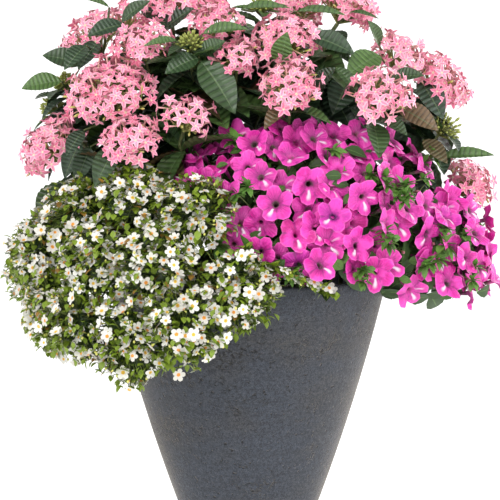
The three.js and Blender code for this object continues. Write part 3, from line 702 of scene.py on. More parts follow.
def petunia_finish():
    """Magenta with darker veins from a dark olive throat, painted shade in the folds between the lobes, a
    painted rim light along their edges, and a white bar on the lowest lobe.
    """
    f = Finish("petunia_magenta", roughness=0.5, sheen_weight=0.06)
    u, v = f.uv()
    tone = f.tone()
    colour = f.ramp(u, [
        (0.24, (0.02, 0.02, 0.01)), (0.30, (0.10, 0.05, 0.07)), (0.41, (0.34, 0.004, 0.17)),
        (0.70, (0.60, 0.003, 0.27)), (1.0, (0.76, 0.01, 0.37)),
    ])
    pale = f.ramp(u, [(0.26, (0.2, 0.22, 0.12)), (0.38, (0.46, 0.05, 0.29)), (1.0, (0.82, 0.055, 0.46))])
    colour = f.layered(
        colour,
        (tone, 0.3, 1.0, 0.85, pale),
        (tone, 0.07, 0.03, 0.7, (0.48, 0.0, 0.17)),
        (f.apart(tone, 0.16), 0.02, 0.01, 0.32, (0.30, 0.02, 0.42)),
    )
    waver = f.times(f.noise(260), 0.02)
    fan = f.math("SINE", f.times(f.math("ADD", v, waver), TURN * PETAL_VEINS))
    veins = f.times(f.range(fan, 0.25, 1.0), f.range(u, 1.05, 0.4))
    colour = f.mix(f.times(veins, 0.65), colour, (0.25, 0.002, 0.14))
    # Painted shade: the colour darkens along the sunken folds between the lobes.
    notch = f.math("ABSOLUTE", f.math("SINE", f.times(v, 5 * math.pi)))
    crease_shade = f.times(f.range(notch, 0.42, 0.0), f.range(u, 0.3, 0.55))
    colour = f.mix(f.times(crease_shade, 0.75), colour, (0.23, 0.002, 0.15))
    colour = f.layered(
        colour,
        (f.noise(60, 4), 0.44, 0.62, 0.75, (0.88, 0.055, 0.50)),
        # Painted rim light: a paler pink along the lobes' outer edges.
        (u, 0.9, 1.0, 0.25, (0.94, 0.26, 0.66)),
    )
    ends = f.times(f.range(u, 0.36, 0.47), f.range(u, 0.88, 0.68))
    bar = f.times(f.range(f.apart(v, 0.1), 0.042, 0.008), ends)
    second = f.times(f.range(f.apart(v, 0.3), 0.026, 0.008), f.range(tone, 0.6, 0.7))
    second = f.times(second, f.times(ends, 0.55))
    colour = f.mix(f.math("MAXIMUM", bar, second), colour, (0.84, 0.68, 0.82))
    f.bump(fan, 0.0003, 0.5)
    return f.done(colour)


def bacopa_finish():
    f = Finish("bacopa_white", roughness=0.6, sheen_weight=0.2)
    u, side = f.blade()
    white = f.layered((0.62, 0.60, 0.54), (f.tone(), 0.0, 1.0, 1, (0.84, 0.83, 0.79)))
    eye = f.layered((0.75, 0.26, 0.01), (f.tone(), 0.3, 0.7, 1, (0.80, 0.48, 0.03)))
    # Painted shade: each petal is greyer down its sunken middle and white towards its raised sides.
    middle = f.mix(0.2, white, (0.6, 0.6, 0.5))
    return f.done(f.layered(middle, (side, 0.0, 0.8, 1, white), (u, 0.25, 0.15, 1, eye)))


def leaf_finish(name, dark, light, rib, veins=0, roughness=0.5, odd=None):
    """Leaf green: lighter by tone, with a pale midrib, sunken side veins with painted shade in their grooves,
    and a mottled surface.
    """
    f = Finish(name, roughness=roughness)
    u, side = f.blade()
    colour = f.layered(dark, (f.tone(), 0.0, 1.0, 1, light))
    if odd:
        colour = f.layered(colour, (f.tone(), 0.90, 0.94, 0.8, odd))
    mottle = f.noise(150, 4, 0.6)
    dull = f.mix(1.0, colour, (0.55, 0.6, 0.5), "MULTIPLY")
    colour = f.layered(colour, (mottle, 0.35, 0.7, 0.5, dull))
    lines = f.range(side, 0.09, 0.02)
    height = f.times(lines, -1.0)
    if veins:
        wave = f.math("COSINE", f.times(u, TURN * veins))
        # Painted shade: the colour darkens in the sunken grooves of the side veins.
        vein_groove_shade = f.range(wave, 0.35, 1.0, 0, 0.8)
        colour = f.mix(vein_groove_shade, colour, f.mix(1.0, colour, (0.4, 0.42, 0.42), "MULTIPLY"))
        height = f.math("SUBTRACT", height, f.times(wave, 0.9))
    colour = f.mix(f.times(lines, 0.5), colour, rib)
    f.bump(f.math("ADD", height, f.times(mottle, 0.5)), 0.0008, 0.5)
    return f.done(colour)


def stem_finish(name, dark, light):
    f = Finish(name, roughness=0.6)
    streak = f.noise(180, 4, 0.6)
    f.bump(f.noise(500), 0.0006, 0.5)
    return f.done(f.layered(dark, (streak, 0.35, 0.65, 1, light)))


POT = pot_finish()
SOIL = soil_finish()
BARK = chip_finish("bark", (0.02, 0.012, 0.008), (0.1, 0.06, 0.035))
PERLITE = chip_finish("perlite", (0.42, 0.4, 0.36), (0.7, 0.68, 0.64))
PENTAS_PINK = floret_finish()
PENTAS_TUBE = tube_finish(
    "pentas_tube", 0.5, [(0.0, (0.42, 0.42, 0.13)), (0.35, (0.72, 0.46, 0.33)), (1.0, (0.86, 0.42, 0.46))],
    (500, 0.3, 0.8, 0.3), (0.6, 0.25, 0.25),
)
PENTAS_BUD = bud_finish()
PENTAS_GREEN = leaf_finish(
    "pentas_leaf", (0.028, 0.056, 0.03), (0.10, 0.19, 0.048), (0.13, 0.2, 0.085), VEIN_PAIRS, 0.42,
    (0.17, 0.075, 0.05),
)
PENTAS_STEM = stem_finish("pentas_stem", (0.06, 0.08, 0.025), (0.14, 0.17, 0.06))
STALK = stem_finish("flower_stalk", (0.2, 0.24, 0.06), (0.42, 0.42, 0.14))
PETUNIA = petunia_finish()
PETUNIA_BUD = tube_finish(
    "petunia_bud", 0.6, [(0.3, (0.18, 0.22, 0.06)), (0.65, (0.34, 0.25, 0.12)), (1.0, (0.5, 0.1, 0.25))],
    (400, 0.35, 0.7, 0.4), (0.2, 0.12, 0.06),
)
PETUNIA_GREEN = leaf_finish(
    "petunia_leaf", (0.03, 0.07, 0.015), (0.13, 0.28, 0.045), (0.16, 0.3, 0.07), 0, 0.6
)
PETUNIA_STEM = stem_finish("petunia_stem", (0.08, 0.12, 0.03), (0.2, 0.24, 0.08))
BACOPA_WHITE = bacopa_finish()
BACOPA_GREEN = leaf_finish(
    "bacopa_leaf", (0.02, 0.045, 0.008), (0.22, 0.32, 0.02), (0.28, 0.38, 0.05), 0, 0.5, (0.36, 0.13, 0.03)
)
BACOPA_STEM_GREEN = stem_finish("bacopa_stem", (0.06, 0.09, 0.02), (0.2, 0.25, 0.06))
BACOPA_BUD = stem_finish("bacopa_bud", (0.4, 0.45, 0.06), (0.75, 0.72, 0.2))


# Pot and soil.
def outer_radius(z):
    s = z / POT_HEIGHT
    return FOOT_RADIUS + (RIM_RADIUS - FOOT_RADIUS) * s + 4 * WALL_BULGE * s * (1 - s)


def lathe(profile, steps):
    """A profile of (radius, height) points turned about Z, made of a grid so that its order never changes."""
    rows = len(profile) - 1
    bm = bmesh.new()
    bmesh.ops.create_grid(bm, x_segments=rows, y_segments=steps, size=0.5)
    for v in bm.verts:
        r, z = profile[round((v.co.x + 0.5) * rows)]
        angle = TURN * round((v.co.y + 0.5) * steps) / steps
        v.co = (r * math.cos(angle), r * math.sin(angle), z)
    bmesh.ops.remove_doubles(bm, verts=bm.verts, dist=1e-3)
    bmesh.ops.recalc_face_normals(bm, faces=bm.faces)
    for face in bm.faces:
        face.smooth = True
    return bm


def arc(r, z, radius, start, end, steps=4):
    """Points of an arc about (r, z), its angles in degrees."""
    angles = [math.radians(start + (end - start) * k / steps) for k in range(steps + 1)]
    return [(r + radius * math.cos(a), z + radius * math.sin(a)) for a in angles]


def make_pot():
    rim = WALL / 2
    outer = [(outer_radius(z), z) for z in range(8, POT_HEIGHT - 4, 12)]
    inner = [(outer_radius(z) - WALL, z) for z in range(POT_HEIGHT - 16, POT_FLOOR + 8, -24)]
    profile = [
        (0, 0),
        *arc(FOOT_RADIUS - 2, 4, 4, -90, 0),
        *outer,
        *arc(RIM_RADIUS - rim, POT_HEIGHT - rim, rim, 0, 180, 8),
        *inner,
        *arc(FOOT_RADIUS - WALL - 4, POT_FLOOR + 4, 4, 0, -90),
        (0, POT_FLOOR),
    ]
    return finish_piece("tapered_pot", lathe(profile, 144), [POT], "pot")


def soil_height(r):
    return SOIL_TOP - SOIL_CROWN * smooth(120, 168, r)


CRUMBS = 420
CRUMBS_REACH = 164
PERLITE_SHARE = 0.14


def make_soil():
    wall = outer_radius(SOIL_TOP) - WALL - 0.5
    top = [(wall * k / 26, soil_height(wall * k / 26)) for k in range(27)]
    deep = [(outer_radius(z) - WALL - 1, z) for z in (270, 190, 100, POT_FLOOR + 1)]
    bm = lathe([*top, *deep, (0, POT_FLOOR + 1)], 96)
    for v in bm.verts:
        if v.co.z > SOIL_TOP - 20:
            edge = smooth(wall, wall - 12, v.co.xy.length)
            v.co.z += edge * (2.6 * noise.noise(v.co / 26) + 1.4 * noise.noise(v.co / 7))
    solid = growth()
    mesh = finished_shape("soil_body", bm)
    solid.from_mesh(mesh)
    for k in range(CRUMBS):
        angle, r = TURN * draw(k, 31), CRUMBS_REACH * math.sqrt(draw(k, 32))
        size = between(1.6, 4.6, k, 33)
        at = Vector((r * math.cos(angle), r * math.sin(angle), soil_height(r) + size * 0.2))
        lies = Vector((draw(k, 34) - 0.5, draw(k, 35) - 0.5, 1))
        matrix = placed(frame_at(at, lies, 6 * draw(k, 36)), size)
        stamp(solid, LUMP, matrix @ stretch(1.4, 0.9, 0.6), 0.5, 2 if draw(k, 37) < PERLITE_SHARE else 1)
    return finish_piece("potting_soil", solid, [SOIL, BARK, PERLITE], "soil")


# Pentas.
def axis_of(lean):
    return Vector((lean[0], lean[1], 1)).normalized()


def dome(axis, count, lowest, crowding=1.0):
    """Directions over the part of a ball that looks along an axis, closer to it where crowding is over 1."""
    turn = UP.rotation_difference(axis)
    for i in range(count):
        sine = 1 - (1 - lowest) * ((i + 0.5) / count) ** crowding
        cosine = math.sqrt(1 - sine * sine)
        direction = Vector((cosine * math.cos(i * GOLDEN_ANGLE), cosine * math.sin(i * GOLDEN_ANGLE), sine))
        direction.rotate(turn)
        yield i, direction


FLORET_AREA = 126
HEAD_LOWEST = -0.12
HEAD_ACROSS = 1.16
HEAD_DEEP = 0.9
# The share of florets that are still closed, on top of a head and on its sides.
CLOSED_ON_TOP = 0.06
CLOSED_ON_SIDES = 0.22
# Heads that have not filled yet, with the share of the florets that each has.
LOOSE_HEADS = {
    "loose_front": 0.56, "crown_middle": 0.7, "low_right": 0.84, "high_left": 0.72, "top_left": 0.72,
    "far_right": 0.86, "upper_left": 0.86, "left_front": 0.8, "middle_front": 0.8, "right_upper": 0.8,
}


def make_head(name, number):
    """A domed head: florets over the dome, closed ones among them, and their stalks from the stem's end."""
    at, radius, lean = HEADS[name]
    centre, axis = Vector(at), axis_of(lean)
    base = centre - axis * (radius * CORE_SHARE * EDGE_DEPTH)
    bm = growth()
    stalks = []
    full = TURN * radius * radius * HEAD_ACROSS * (1 - HEAD_LOWEST) / FLORET_AREA
    count = round(full * LOOSE_HEADS.get(name, 1))
    for i, direction in dome(axis, count, HEAD_LOWEST):
        item = number * 200 + i
        deep = direction.dot(axis)
        swell = 1 + 0.3 * noise.noise(direction * 1.6 + Vector((number * 7.3, 0, 0)))
        reach = radius * swell * between(0.84, 1.1, item, 41)
        spot = centre + ((direction - axis * deep) * HEAD_ACROSS + axis * deep * HEAD_DEEP) * reach
        f = frame_at(spot, direction + axis * 0.2 + wobble(item, 42) * 1.1, 6 * draw(item, 45))
        closed = draw(item, 46) < (CLOSED_ON_TOP if deep > 0.3 else CLOSED_ON_SIDES)
        size = between(0.9, 1.14, item, 47)
        shape = CLOSED_FLORET if closed else FLORETS[int(draw(item, 49) * len(FLORETS))]
        stamp(bm, shape, placed(f, size), draw(item, 48), 2 if closed else None)
        tube_foot = in_frame(f, 0, 0, (0.5 - FLORET_TUBE) * size)
        stamp(bm, BUD_BALL, placed(f._replace(origin=tube_foot), 1.5), 0.2, 3)
        stalks.append(([base, base.lerp(tube_foot, 0.55) + axis * 2, tube_foot], 0.9, 0.7))
    add_stalks(bm, stalks, 3)
    stamp(bm, BUD_BALL, Matrix.Translation(base) @ Matrix.Scale(2.6, 4), 0.2, 3)
    materials = [PENTAS_PINK, PENTAS_TUBE, PENTAS_BUD, STALK]
    return finish_piece(f"pentas_flowers_{name}", bm, materials, f"pentas_head_{name}")


def end_of(name):
    """Where a shoot ends: just under a flower head, or in the middle of a bud head."""
    at, radius, lean = HEADS.get(name) or BUD_HEADS[name]
    axis = axis_of(lean)
    back = radius * CORE_SHARE * EDGE_DEPTH + SEAT if name in HEADS else 0
    return Vector(at) - axis * back, axis


def clear_of_flowers(points):
    """Whether a leaf's points stay out of the heads, the petunias' mounds and the bacopa."""
    heads = all((p - Vector(at)).length > radius + 4 for at, radius, _ in HEADS.values() for p in points)
    mounds = all(not inside(p, mound, 1.04) for mound in (PETUNIA_FRONT, PETUNIA_SIDE) for p in points)
    return heads and mounds and not any(in_spray(p, spray, 1.1) for spray in SPRAYS for p in points)


def add_pentas_leaf(bm, f, length, broad, droop, tone):
    shape = min(range(len(DROOPS)), key=lambda k: abs(DROOPS[k] - droop))
    stamp(bm, PENTAS_LEAF[shape], placed(f, length, broad), tone, 1)


def modelled_leaves(bm, tree, line, item, is_main):
    """The large leaves that the CAD stem has, found again among the ways in which each could have grown."""
    rule = PENTAS_LEAVES
    for k, t in enumerate(rule["main" if is_main else "side"]):
        base, tangent = along_line(line, t)
        for side in (0, 1) if is_main else (0,):
            leaf = item * 10 + k * 2 + side
            turn = 6 * draw(item, 5) + k * math.pi / 2 + side * math.pi
            droop = between(0.1, 0.5, leaf, 7)
            best = (1.5, None)
            for share in (1, 0.8, 0.62):
                length = between(*rule["lengths"], leaf, 6) * share
                for swing in (0, 0.5, -0.5, 1, -1):
                    ring = frame_at(base, tangent, turn + swing)
                    direction = ring.across + tangent * between(-0.1, 0.5, leaf, 8)
                    f = leaf_frame(base, direction)
                    half = length * rule["broad"] * 0.42
                    corner = (length * 0.64, half, half * 0.286 - droop * length * 0.41)
                    marks = [in_frame(f, length, 0, -droop * length), in_frame(f, *corner)]
                    best = min(best, (distance(tree, marks), (f, length)), key=lambda b: b[0])
            if best[1]:
                add_pentas_leaf(bm, *best[1], rule["broad"], droop, draw(leaf, 51))


# How far up a shoot its other leaves stand, how many there are, and their lengths.
WHORLS = [
    (0.97, 4, (30, 48)),
    (0.9, 4, (44, 68)),
    (0.8, 4, (56, 88)),
    (0.68, 4, (66, 98)),
    (0.54, 4, (70, 106)),
    (0.4, 3, (70, 106)),
]


def whorl(bm, line, item, share, count, lengths):
    """Smaller leaves round a shoot, where they keep clear of the flowers."""
    base, tangent = along_line(line, share)
    for k in range(count):
        leaf = item * 16 + k + int(share * 100)
        ring = frame_at(base, tangent, 6 * draw(item, 52) + TURN * k / count + 0.5 * draw(leaf, 53))
        direction = ring.across + tangent * between(-0.2, 0.6, leaf, 54)
        length = between(*lengths, leaf, 55)
        f = leaf_frame(base, direction, UP + outward_at(base) * between(0, 0.8, leaf, 59))
        droop = between(0.05, 0.45, leaf, 56)
        if clear_of_flowers([in_frame(f, length * t, 0, -droop * length * t * t) for t in (0.6, 1)]):
            add_pentas_leaf(bm, f, length, between(0.42, 0.56, leaf, 57), droop, draw(leaf, 58))


BUDS_IN_HEAD = 52


def add_bud_head(bm, name, number):
    """A green cluster of closed buds on short stalks."""
    at, radius, lean = BUD_HEADS[name]
    centre, axis = Vector(at), axis_of(lean)
    stalks = []
    for i, direction in dome(axis, BUDS_IN_HEAD, -0.1):
        item = number * 60 + i
        tip = centre + direction * radius * between(0.8, 1.25, item, 61)
        f = frame_at(tip, direction, 6 * draw(item, 63))
        knob = placed(f) @ stretch(1.7, 1.7, between(2.6, 4.6, item, 62))
        stamp(bm, BUD_BALL, knob, 0.5, 3)
        stalks.append(([centre - axis * radius * 0.5, tip], 0.7, 0.6))
    add_stalks(bm, stalks, 2)


def shoots_of(number):
    """The lines of a branching stem, each as a fine line, the CAD's own rough one, and its item number."""
    foot, carries = BRANCHES[number - 1]
    tree = surface_of(f"pentas_stem_{number}")
    target, axis = end_of(carries[0])
    path = followed(tree, [stem_path(foot, target, axis, bend) for bend in BENDS], 6)
    trunk = spaced(path, 6)
    shoots = [(spaced(path, 30), trunk, number * 10)]
    for k, name in enumerate(carries[1:]):
        end, axis = end_of(name)
        fork = along_line(trunk, FORKS[0] + FORKS[1] * k)[0]
        sides = [[fork, fork.lerp(end, 0.45) + bend, end - axis * STEM_APPROACH, end] for bend in BENDS]
        side = followed(tree, sides, 4)
        shoots.append((spaced(side, 20), spaced(side, 4), number * 10 + k + 1))
    return shoots


FRONT_LIGHT = Vector((0, -1, 0.7))
# Leaves that stand out in front: where each begins and ends, its width against its length, and its tone.
FRONT_LEAVES = [
    ((-56, -104, 622), (-16, -132, 563), 0.54, 0.35),
    ((-58, -104, 626), (-96, -122, 608), 0.6, 0.3),
    ((-58, -100, 628), (-28, -112, 645), 0.62, 0.4),
    ((-54, -96, 654), (-2, -118, 660), 0.3, 0.75),
    ((-84, -96, 646), (-121, -116, 640), 0.26, 0.8),
    ((-150, -62, 668), (-191, -84, 654), 0.5, 0.15),
    ((-154, -50, 672), (-120, -66, 696), 0.46, 0.3),
    ((-170, -40, 690), (-208, -56, 702), 0.2, 0.7),
    ((-204, -46, 620), (-249, -54, 632), 0.62, 0.3),
    ((-228, -50, 600), (-275, -58, 592), 0.55, 0.85),
    ((-204, -66, 528), (-222, -80, 484), 0.5, 0.1),
    ((-190, -80, 520), (-206, -96, 478), 0.5, 0.2),
    ((-196, -66, 642), (-218, -96, 614), 0.5, 0.2),
    ((-154, -128, 522), (-177, -152, 477), 0.52, 0.3),
    ((-134, -132, 505), (-118, -150, 488), 0.5, 0.15),
    ((-196, -98, 540), (-214, -120, 512), 0.5, 0.1),
    ((74, -92, 652), (124, -112, 632), 0.5, 0.2),
    ((158, -80, 630), (118, -112, 606), 0.62, 0.85),
    ((160, -60, 642), (145, -84, 670), 0.44, 0.5),
    ((172, -74, 602), (208, -96, 606), 0.5, 0.35),
    ((176, -110, 568), (222, -128, 542), 0.52, 0.95),
    ((158, -122, 556), (184, -146, 536), 0.46, 0.3),
    ((80, -118, 588), (100, -138, 612), 0.6, 0.02),
    ((104, -112, 614), (128, -140, 584), 0.3, 0.45),
    ((38, -112, 616), (45, -136, 652), 0.6, 0.88),
    ((238, -40, 506), (300, -56, 511), 0.26, 0.8),
    ((214, -60, 528), (240, -84, 502), 0.5, 0.93),
    ((124, -40, 684), (158, -60, 676), 0.16, 0.6),
    ((60, -52, 684), (116, -70, 680), 0.2, 0.7),
    ((-8, -60, 686), (48, -76, 688), 0.2, 0.75),
    ((98, -34, 592), (126, -66, 544), 0.6, 0.05),
    ((128, -30, 606), (104, -70, 562), 0.6, 0.1),
    ((212, -24, 604), (240, -46, 556), 0.55, 0.08),
    ((-8, -66, 588), (-32, -92, 536), 0.5, 0.05),
    ((-132, -22, 692), (-98, -46, 668), 0.5, 0.12),
    ((-104, -40, 662), (-68, -58, 688), 0.5, 0.06),
    ((-182, -40, 650), (-206, -62, 616), 0.5, 0.18),
    ((204, -24, 512), (230, -52, 470), 0.5, 0.08),
    ((80, -34, 584), (104, -66, 536), 0.6, 0.06),
    ((200, -44, 504), (212, -66, 452), 0.6, 0.1),
]


def nearest_on(shoots, p):
    """The point nearest to p on the shoots of one branch."""
    return min((q for line, _, _ in shoots for q in line[6:]), key=lambda q: (q - p).length)


def add_front_leaves(bm, number, all_shoots):
    """Puts each front leaf on the branch that passes nearest to it, by a short side shoot."""
    stalks = []
    for start, end, broad, tone in FRONT_LEAVES:
        start, end = Vector(start), Vector(end)
        roots = {k: nearest_on(shoots, start) for k, shoots in all_shoots.items()}
        if min(roots, key=lambda k: (roots[k] - start).length) != number:
            continue
        length = (end - start).length
        f = leaf_frame(start, end - start, FRONT_LIGHT)
        f = leaf_frame(start, end + f.n * 0.2 * length - start, FRONT_LIGHT)
        add_pentas_leaf(bm, f, length, broad, 0.2, tone)
        stalks.append(([roots[number], roots[number].lerp(start, 0.5) - UP * 3, start], 1.8, 1.2))
    add_stalks(bm, stalks, 0)


def make_branch(number, all_shoots):
    """The wood and leaves of one pentas, with its green bud heads."""
    carries = BRANCHES[number - 1][1]
    tree = surface_of(f"pentas_stem_{number}")
    bm = growth()
    stems = []
    for line, rough, item in all_shoots[number]:
        is_main = item == number * 10
        stems.append((line, STEM_RADIUS if is_main else SHOOT_RADIUS, SHOOT_RADIUS * (1 if is_main else 0.7)))
        modelled_leaves(bm, tree, rough, item, is_main)
        for share, count, lengths in WHORLS:
            whorl(bm, line, item, share, count, lengths)
    add_stalks(bm, stems, 0, 1)
    add_front_leaves(bm, number, all_shoots)
    for k, name in enumerate(carries):
        if name in BUD_HEADS:
            add_bud_head(bm, name, number * 4 + k)
    materials = [PENTAS_STEM, PENTAS_GREEN, STALK, PENTAS_BUD]
    return finish_piece(f"pentas_branch_{number}", bm, materials, f"pentas_stem_{number}")


# Petunias.
Site = namedtuple("Site", "at normal item")


def spread(mound):
    """Points spread evenly over a band of an ellipsoid by the golden angle."""
    found = []
    low, high = (math.radians(a) for a in mound.azimuths)
    for i in range(mound.count):
        sine = 1 - 2 * (i + 0.5) / mound.count
        cosine = math.sqrt(1 - sine * sine)
        azimuth = (i * GOLDEN_ANGLE) % TURN
        azimuth -= TURN if azimuth > math.pi else 0
        if not (low <= azimuth <= high and mound.sines[0] <= sine <= mound.sines[1]):
            continue
        unit = Vector((math.sin(azimuth) * cosine, -math.cos(azimuth) * cosine, sine))
        radii = Vector(mound.radii)
        normal = Vector([a / r for a, r in zip(unit, radii)]).normalized()
        found.append(Site(unit * radii + Vector(mound.centre), normal, i + mound.seed))
    return found


def inside(p, mound, skin=SKIN):
    return Vector([(a - c) / r for a, c, r in zip(p, mound.centre, mound.radii)]).length < skin


def right_of_bacopa(p):
    return p.y > -20 or p.x > -105 + 1.26 * (475 - p.z)


def bunches(sites, count):
    """Splits sites into bunches round the few that lie furthest from each other."""
    seeds = [sites[0]]
    while len(seeds) < count:
        seeds.append(max(sites, key=lambda s: min((s.at - seed.at).length for seed in seeds)))
    groups = [[] for _ in seeds]
    for s in sites:
        groups[min(range(count), key=lambda k: (s.at - seeds[k].at).length)].append(s)
    return groups


def mean(vectors):
    return sum(vectors, Vector((0, 0, 0))) / len(vectors)


FILL_SEED = 5000
TUFT_SEED = 7000
FILL_GAP = 19.6
FILL_CROWDING = 4.1
BUD_SHARE = 0.05


def fill_between(mound, taken):
    """More sites of the same mound, where there is room between those already taken."""
    found = []
    for s in spread(mound._replace(seed=mound.seed + FILL_SEED, count=round(mound.count * FILL_CROWDING))):
        near = min((s.at - t.at).length for t in taken + found)
        if near > FILL_GAP and right_of_bacopa(s.at):
            found.append(s)
    return found


def make_blooms(name, sites, hub):
    """A bunch of petunias, each bloom with its bar more or less towards the ground."""
    bm = growth()
    stalks = []
    for s in sites:
        is_fill = s.item % 10000 > FILL_SEED
        facing = s.normal + outward_at(s.at) * 0.55 + UP * between(-0.1, 0.3, s.item, 71)
        facing += wobble(s.item, 68) * 1.1
        origin = s.at + s.normal * (between(-14, -2, s.item, 3) if is_fill else between(-7, 7, s.item, 3))
        f = frame_at(origin, facing)
        down = -UP + f.n * f.n.z
        angle = math.atan2(down.dot(f.along), down.dot(f.across)) + between(-1.1, 1.1, s.item, 72)
        f = frame_at(origin, facing, angle)
        size = between(0.9, 1.1, s.item, 73)
        tube_foot = in_frame(f, 0, 0, (0.5 - BLOOM_TUBE) * size)
        if draw(s.item, 66) < BUD_SHARE:
            bud = placed(f._replace(origin=in_frame(f, 0, 0, -4)), 0.9) @ stretch(1.5, 1.5, 1.1)
            stamp(bm, CLOSED_FLORET, bud, 0.5, 3)
        else:
            stamp(bm, BLOOMS[int(draw(s.item, 74) * len(BLOOMS))], placed(f, size), draw(s.item, 75), 0)
        stamp(bm, CALYX, placed(f, size), 0.5, 1)
        stalks.append(([hub, hub.lerp(tube_foot, 0.6) - UP * 2, tube_foot], 1.1, 0.9))
    add_stalks(bm, stalks, 2)
    stamp(bm, BUD_BALL, Matrix.Translation(hub) @ Matrix.Scale(3, 4), 0.2, 2)
    materials = [PETUNIA, PETUNIA_GREEN, PETUNIA_STEM, PETUNIA_BUD]
    return finish_piece(name.replace("blooms", "bunch"), bm, materials, name)


def rosette(bm, base, outward, item, count, lengths):
    """Leaves round the tip of a shoot."""
    for k in range(count):
        leaf = item * 12 + k
        ring = frame_at(base, outward, TURN * k * 0.382 + 6 * draw(item, 76))
        direction = ring.across + outward * between(0.1, 1.3, leaf, 77)
        f = leaf_frame(base, direction) if abs(direction.normalized().z) < 0.95 else frame_at(base, outward)
        stamp(bm, PETUNIA_LEAF, placed(f, between(*lengths, leaf, 78)), between(0.5, 1, leaf, 79), 1)


ROSETTE_SHARE = 0.08
# How far under the blooms each layer of leaves lies.
LEAF_LAYERS = [(17, 24), (20, 32), (28, 44), (40, 60), (50, 78)]
# Leafy tips that look out of the petunias in front: their X and Z, and how many rosettes each has.
TUFTS = [
    (150, 478, 5), (166, 462, 4), (186, 470, 3), (222, 500, 3), (-4, 462, 2), (150, 418, 3), (212, 384, 3),
    (92, 512, 1), (232, 430, 2), (60, 388, 2), (124, 372, 3), (262, 372, 2),
]


def add_tufts(bm, stalks, groups, everyone, hubs):
    """Bright rosettes beside the bloom that stands nearest to each of the places in front."""
    for k, (x, z, count) in enumerate(TUFTS):
        owner = min((s for s in everyone if s.at.y < 0), key=lambda s: math.hypot(s.at.x - x, s.at.z - z))
        for sites, (hub, _) in zip(groups, hubs):
            if owner in sites:
                for tip in range(count):
                    item = TUFT_SEED + k * 10 + tip
                    aside = Vector((between(-13, 13, item, 111), 0, between(-13, 13, item, 112)))
                    base = Vector((x, owner.at.y, z)) + aside + owner.normal * between(2, 9, item, 113)
                    rosette(bm, base, owner.normal, item, 9, (9, 17))
                    stalks.append(([hub, hub.lerp(base, 0.5), base], 1.0, 0.7))


def make_petunia_green(number, foot, hubs, groups, everyone):
    """The stems of one petunia, the leaves inside its mound and the leafy tips that look out of it."""
    tree = surface_of(f"petunia_stem_{number}")
    bm = growth()
    stems, stalks = [], []
    for (hub, arrive), sites in zip(hubs, groups):
        target = hub - arrive * (HUB_RADIUS + SEAT)
        path = followed(tree, [stem_path(foot, target, arrive, bend) for bend in BENDS], 5)
        stems.append((spaced(path, 24), SHOOT_RADIUS, SHOOT_RADIUS * 0.7))
        for s in sites:
            for k, depths in enumerate(LEAF_LAYERS):
                item = s.item * 6 + k
                sideways = wobble(item, 81) * 40
                base = s.at - s.normal * between(*depths, item, 84) + sideways
                f = frame_at(base, s.normal + sideways * 0.03, 6 * draw(item, 85))
                length = between(13, 21, item, 86) + 6 * k
                # Painted shade: each deeper layer of leaves takes a darker tone.
                stamp(bm, PETUNIA_LEAF, placed(f, length, 1.25), between(0, 0.8, item, 87) / (1 + k), 1)
                if k < 2:
                    stalks.append(([hub, hub.lerp(base, 0.5) - UP * 2, base], 1.0, 0.6))
            if draw(s.item, 88) < ROSETTE_SHARE:
                tip = s.at + s.normal * between(2, 9, s.item, 89) + s.normal.cross(UP) * 14
                rosette(bm, tip - s.normal * 8, s.normal, s.item, 11, (12, 24))
                stalks.append(([hub, hub.lerp(tip, 0.5), tip - s.normal * 8], 1.1, 0.8))
    add_tufts(bm, stalks, groups, everyone, hubs)
    add_stalks(bm, stems, 0, 1)
    add_stalks(bm, stalks, 0)
    materials = [PETUNIA_STEM, PETUNIA_GREEN]
    return finish_piece(f"petunia_green_{number}", bm, materials, f"petunia_stem_{number}")


def make_petunias():
    plants = []
    for mound, other, count, foot in PETUNIAS:
        sites = [s for s in spread(mound) if not inside(s.at, other) and right_of_bacopa(s.at)]
        groups = bunches(sites, count)
        hubs = []
        for group in groups:
            outward = mean([s.normal for s in group]).normalized()
            hub = mean([s.at for s in group]) - outward * HUB_DEPTH
            hubs.append((hub, (hub - over_rim(hub)).normalized() if hangs(hub) else UP))
        grown = [list(group) for group in groups]
        for s in fill_between(mound, sites):
            if not inside(s.at, other):
                owner = min(range(count), key=lambda k: min((s.at - t.at).length for t in groups[k]))
                grown[owner].append(s)
        plants.append((foot, hubs, grown))
    everyone = [s for _, _, grown in plants for group in grown for s in group]
    first = 1
    for number, (foot, hubs, grown) in enumerate(plants, 1):
        for k, group in enumerate(grown):
            make_blooms(f"petunia_blooms_{first + k}", group, hubs[k][0])
        make_petunia_green(number, foot, hubs, grown, everyone)
        first += len(grown)


# Bacopa.
SPRAY_ACROSS = 44
SPRAY_DEEP = 27
SPRAYS = [(Vector(at), Vector(facing).normalized()) for _, sprays in BACOPA for at, facing in sprays]


def in_spray(p, spray, skin=0.9):
    at, facing = spray
    d = p - at
    deep = d.dot(facing)
    return math.hypot((d - facing * deep).length / SPRAY_ACROSS, deep / SPRAY_DEEP) < skin


def in_pot(p, ease):
    return p.z < POT_HEIGHT + ease and math.hypot(p.x, p.y) < outer_radius(max(p.z, 0)) + ease


def spray_sites(spray, count, lowest, seed):
    """Points spread over the facing side of a spray's flattened ball, clear of other sprays and the pot."""
    at, facing = spray
    for i, direction in dome(facing, count, lowest, 1.35):
        deep = direction.dot(facing)
        flat = direction - facing * deep
        swell = 1 + 0.22 * noise.noise(at / 40 + direction * 1.8)
        p = at + (flat * SPRAY_ACROSS + facing * deep * SPRAY_DEEP) * swell
        normal = (flat * 0.8 + facing * (deep + 0.25)).normalized()
        if not in_pot(p, 5) and not any(in_spray(p, other) for other in SPRAYS if other is not spray):
            yield seed + i, p, normal


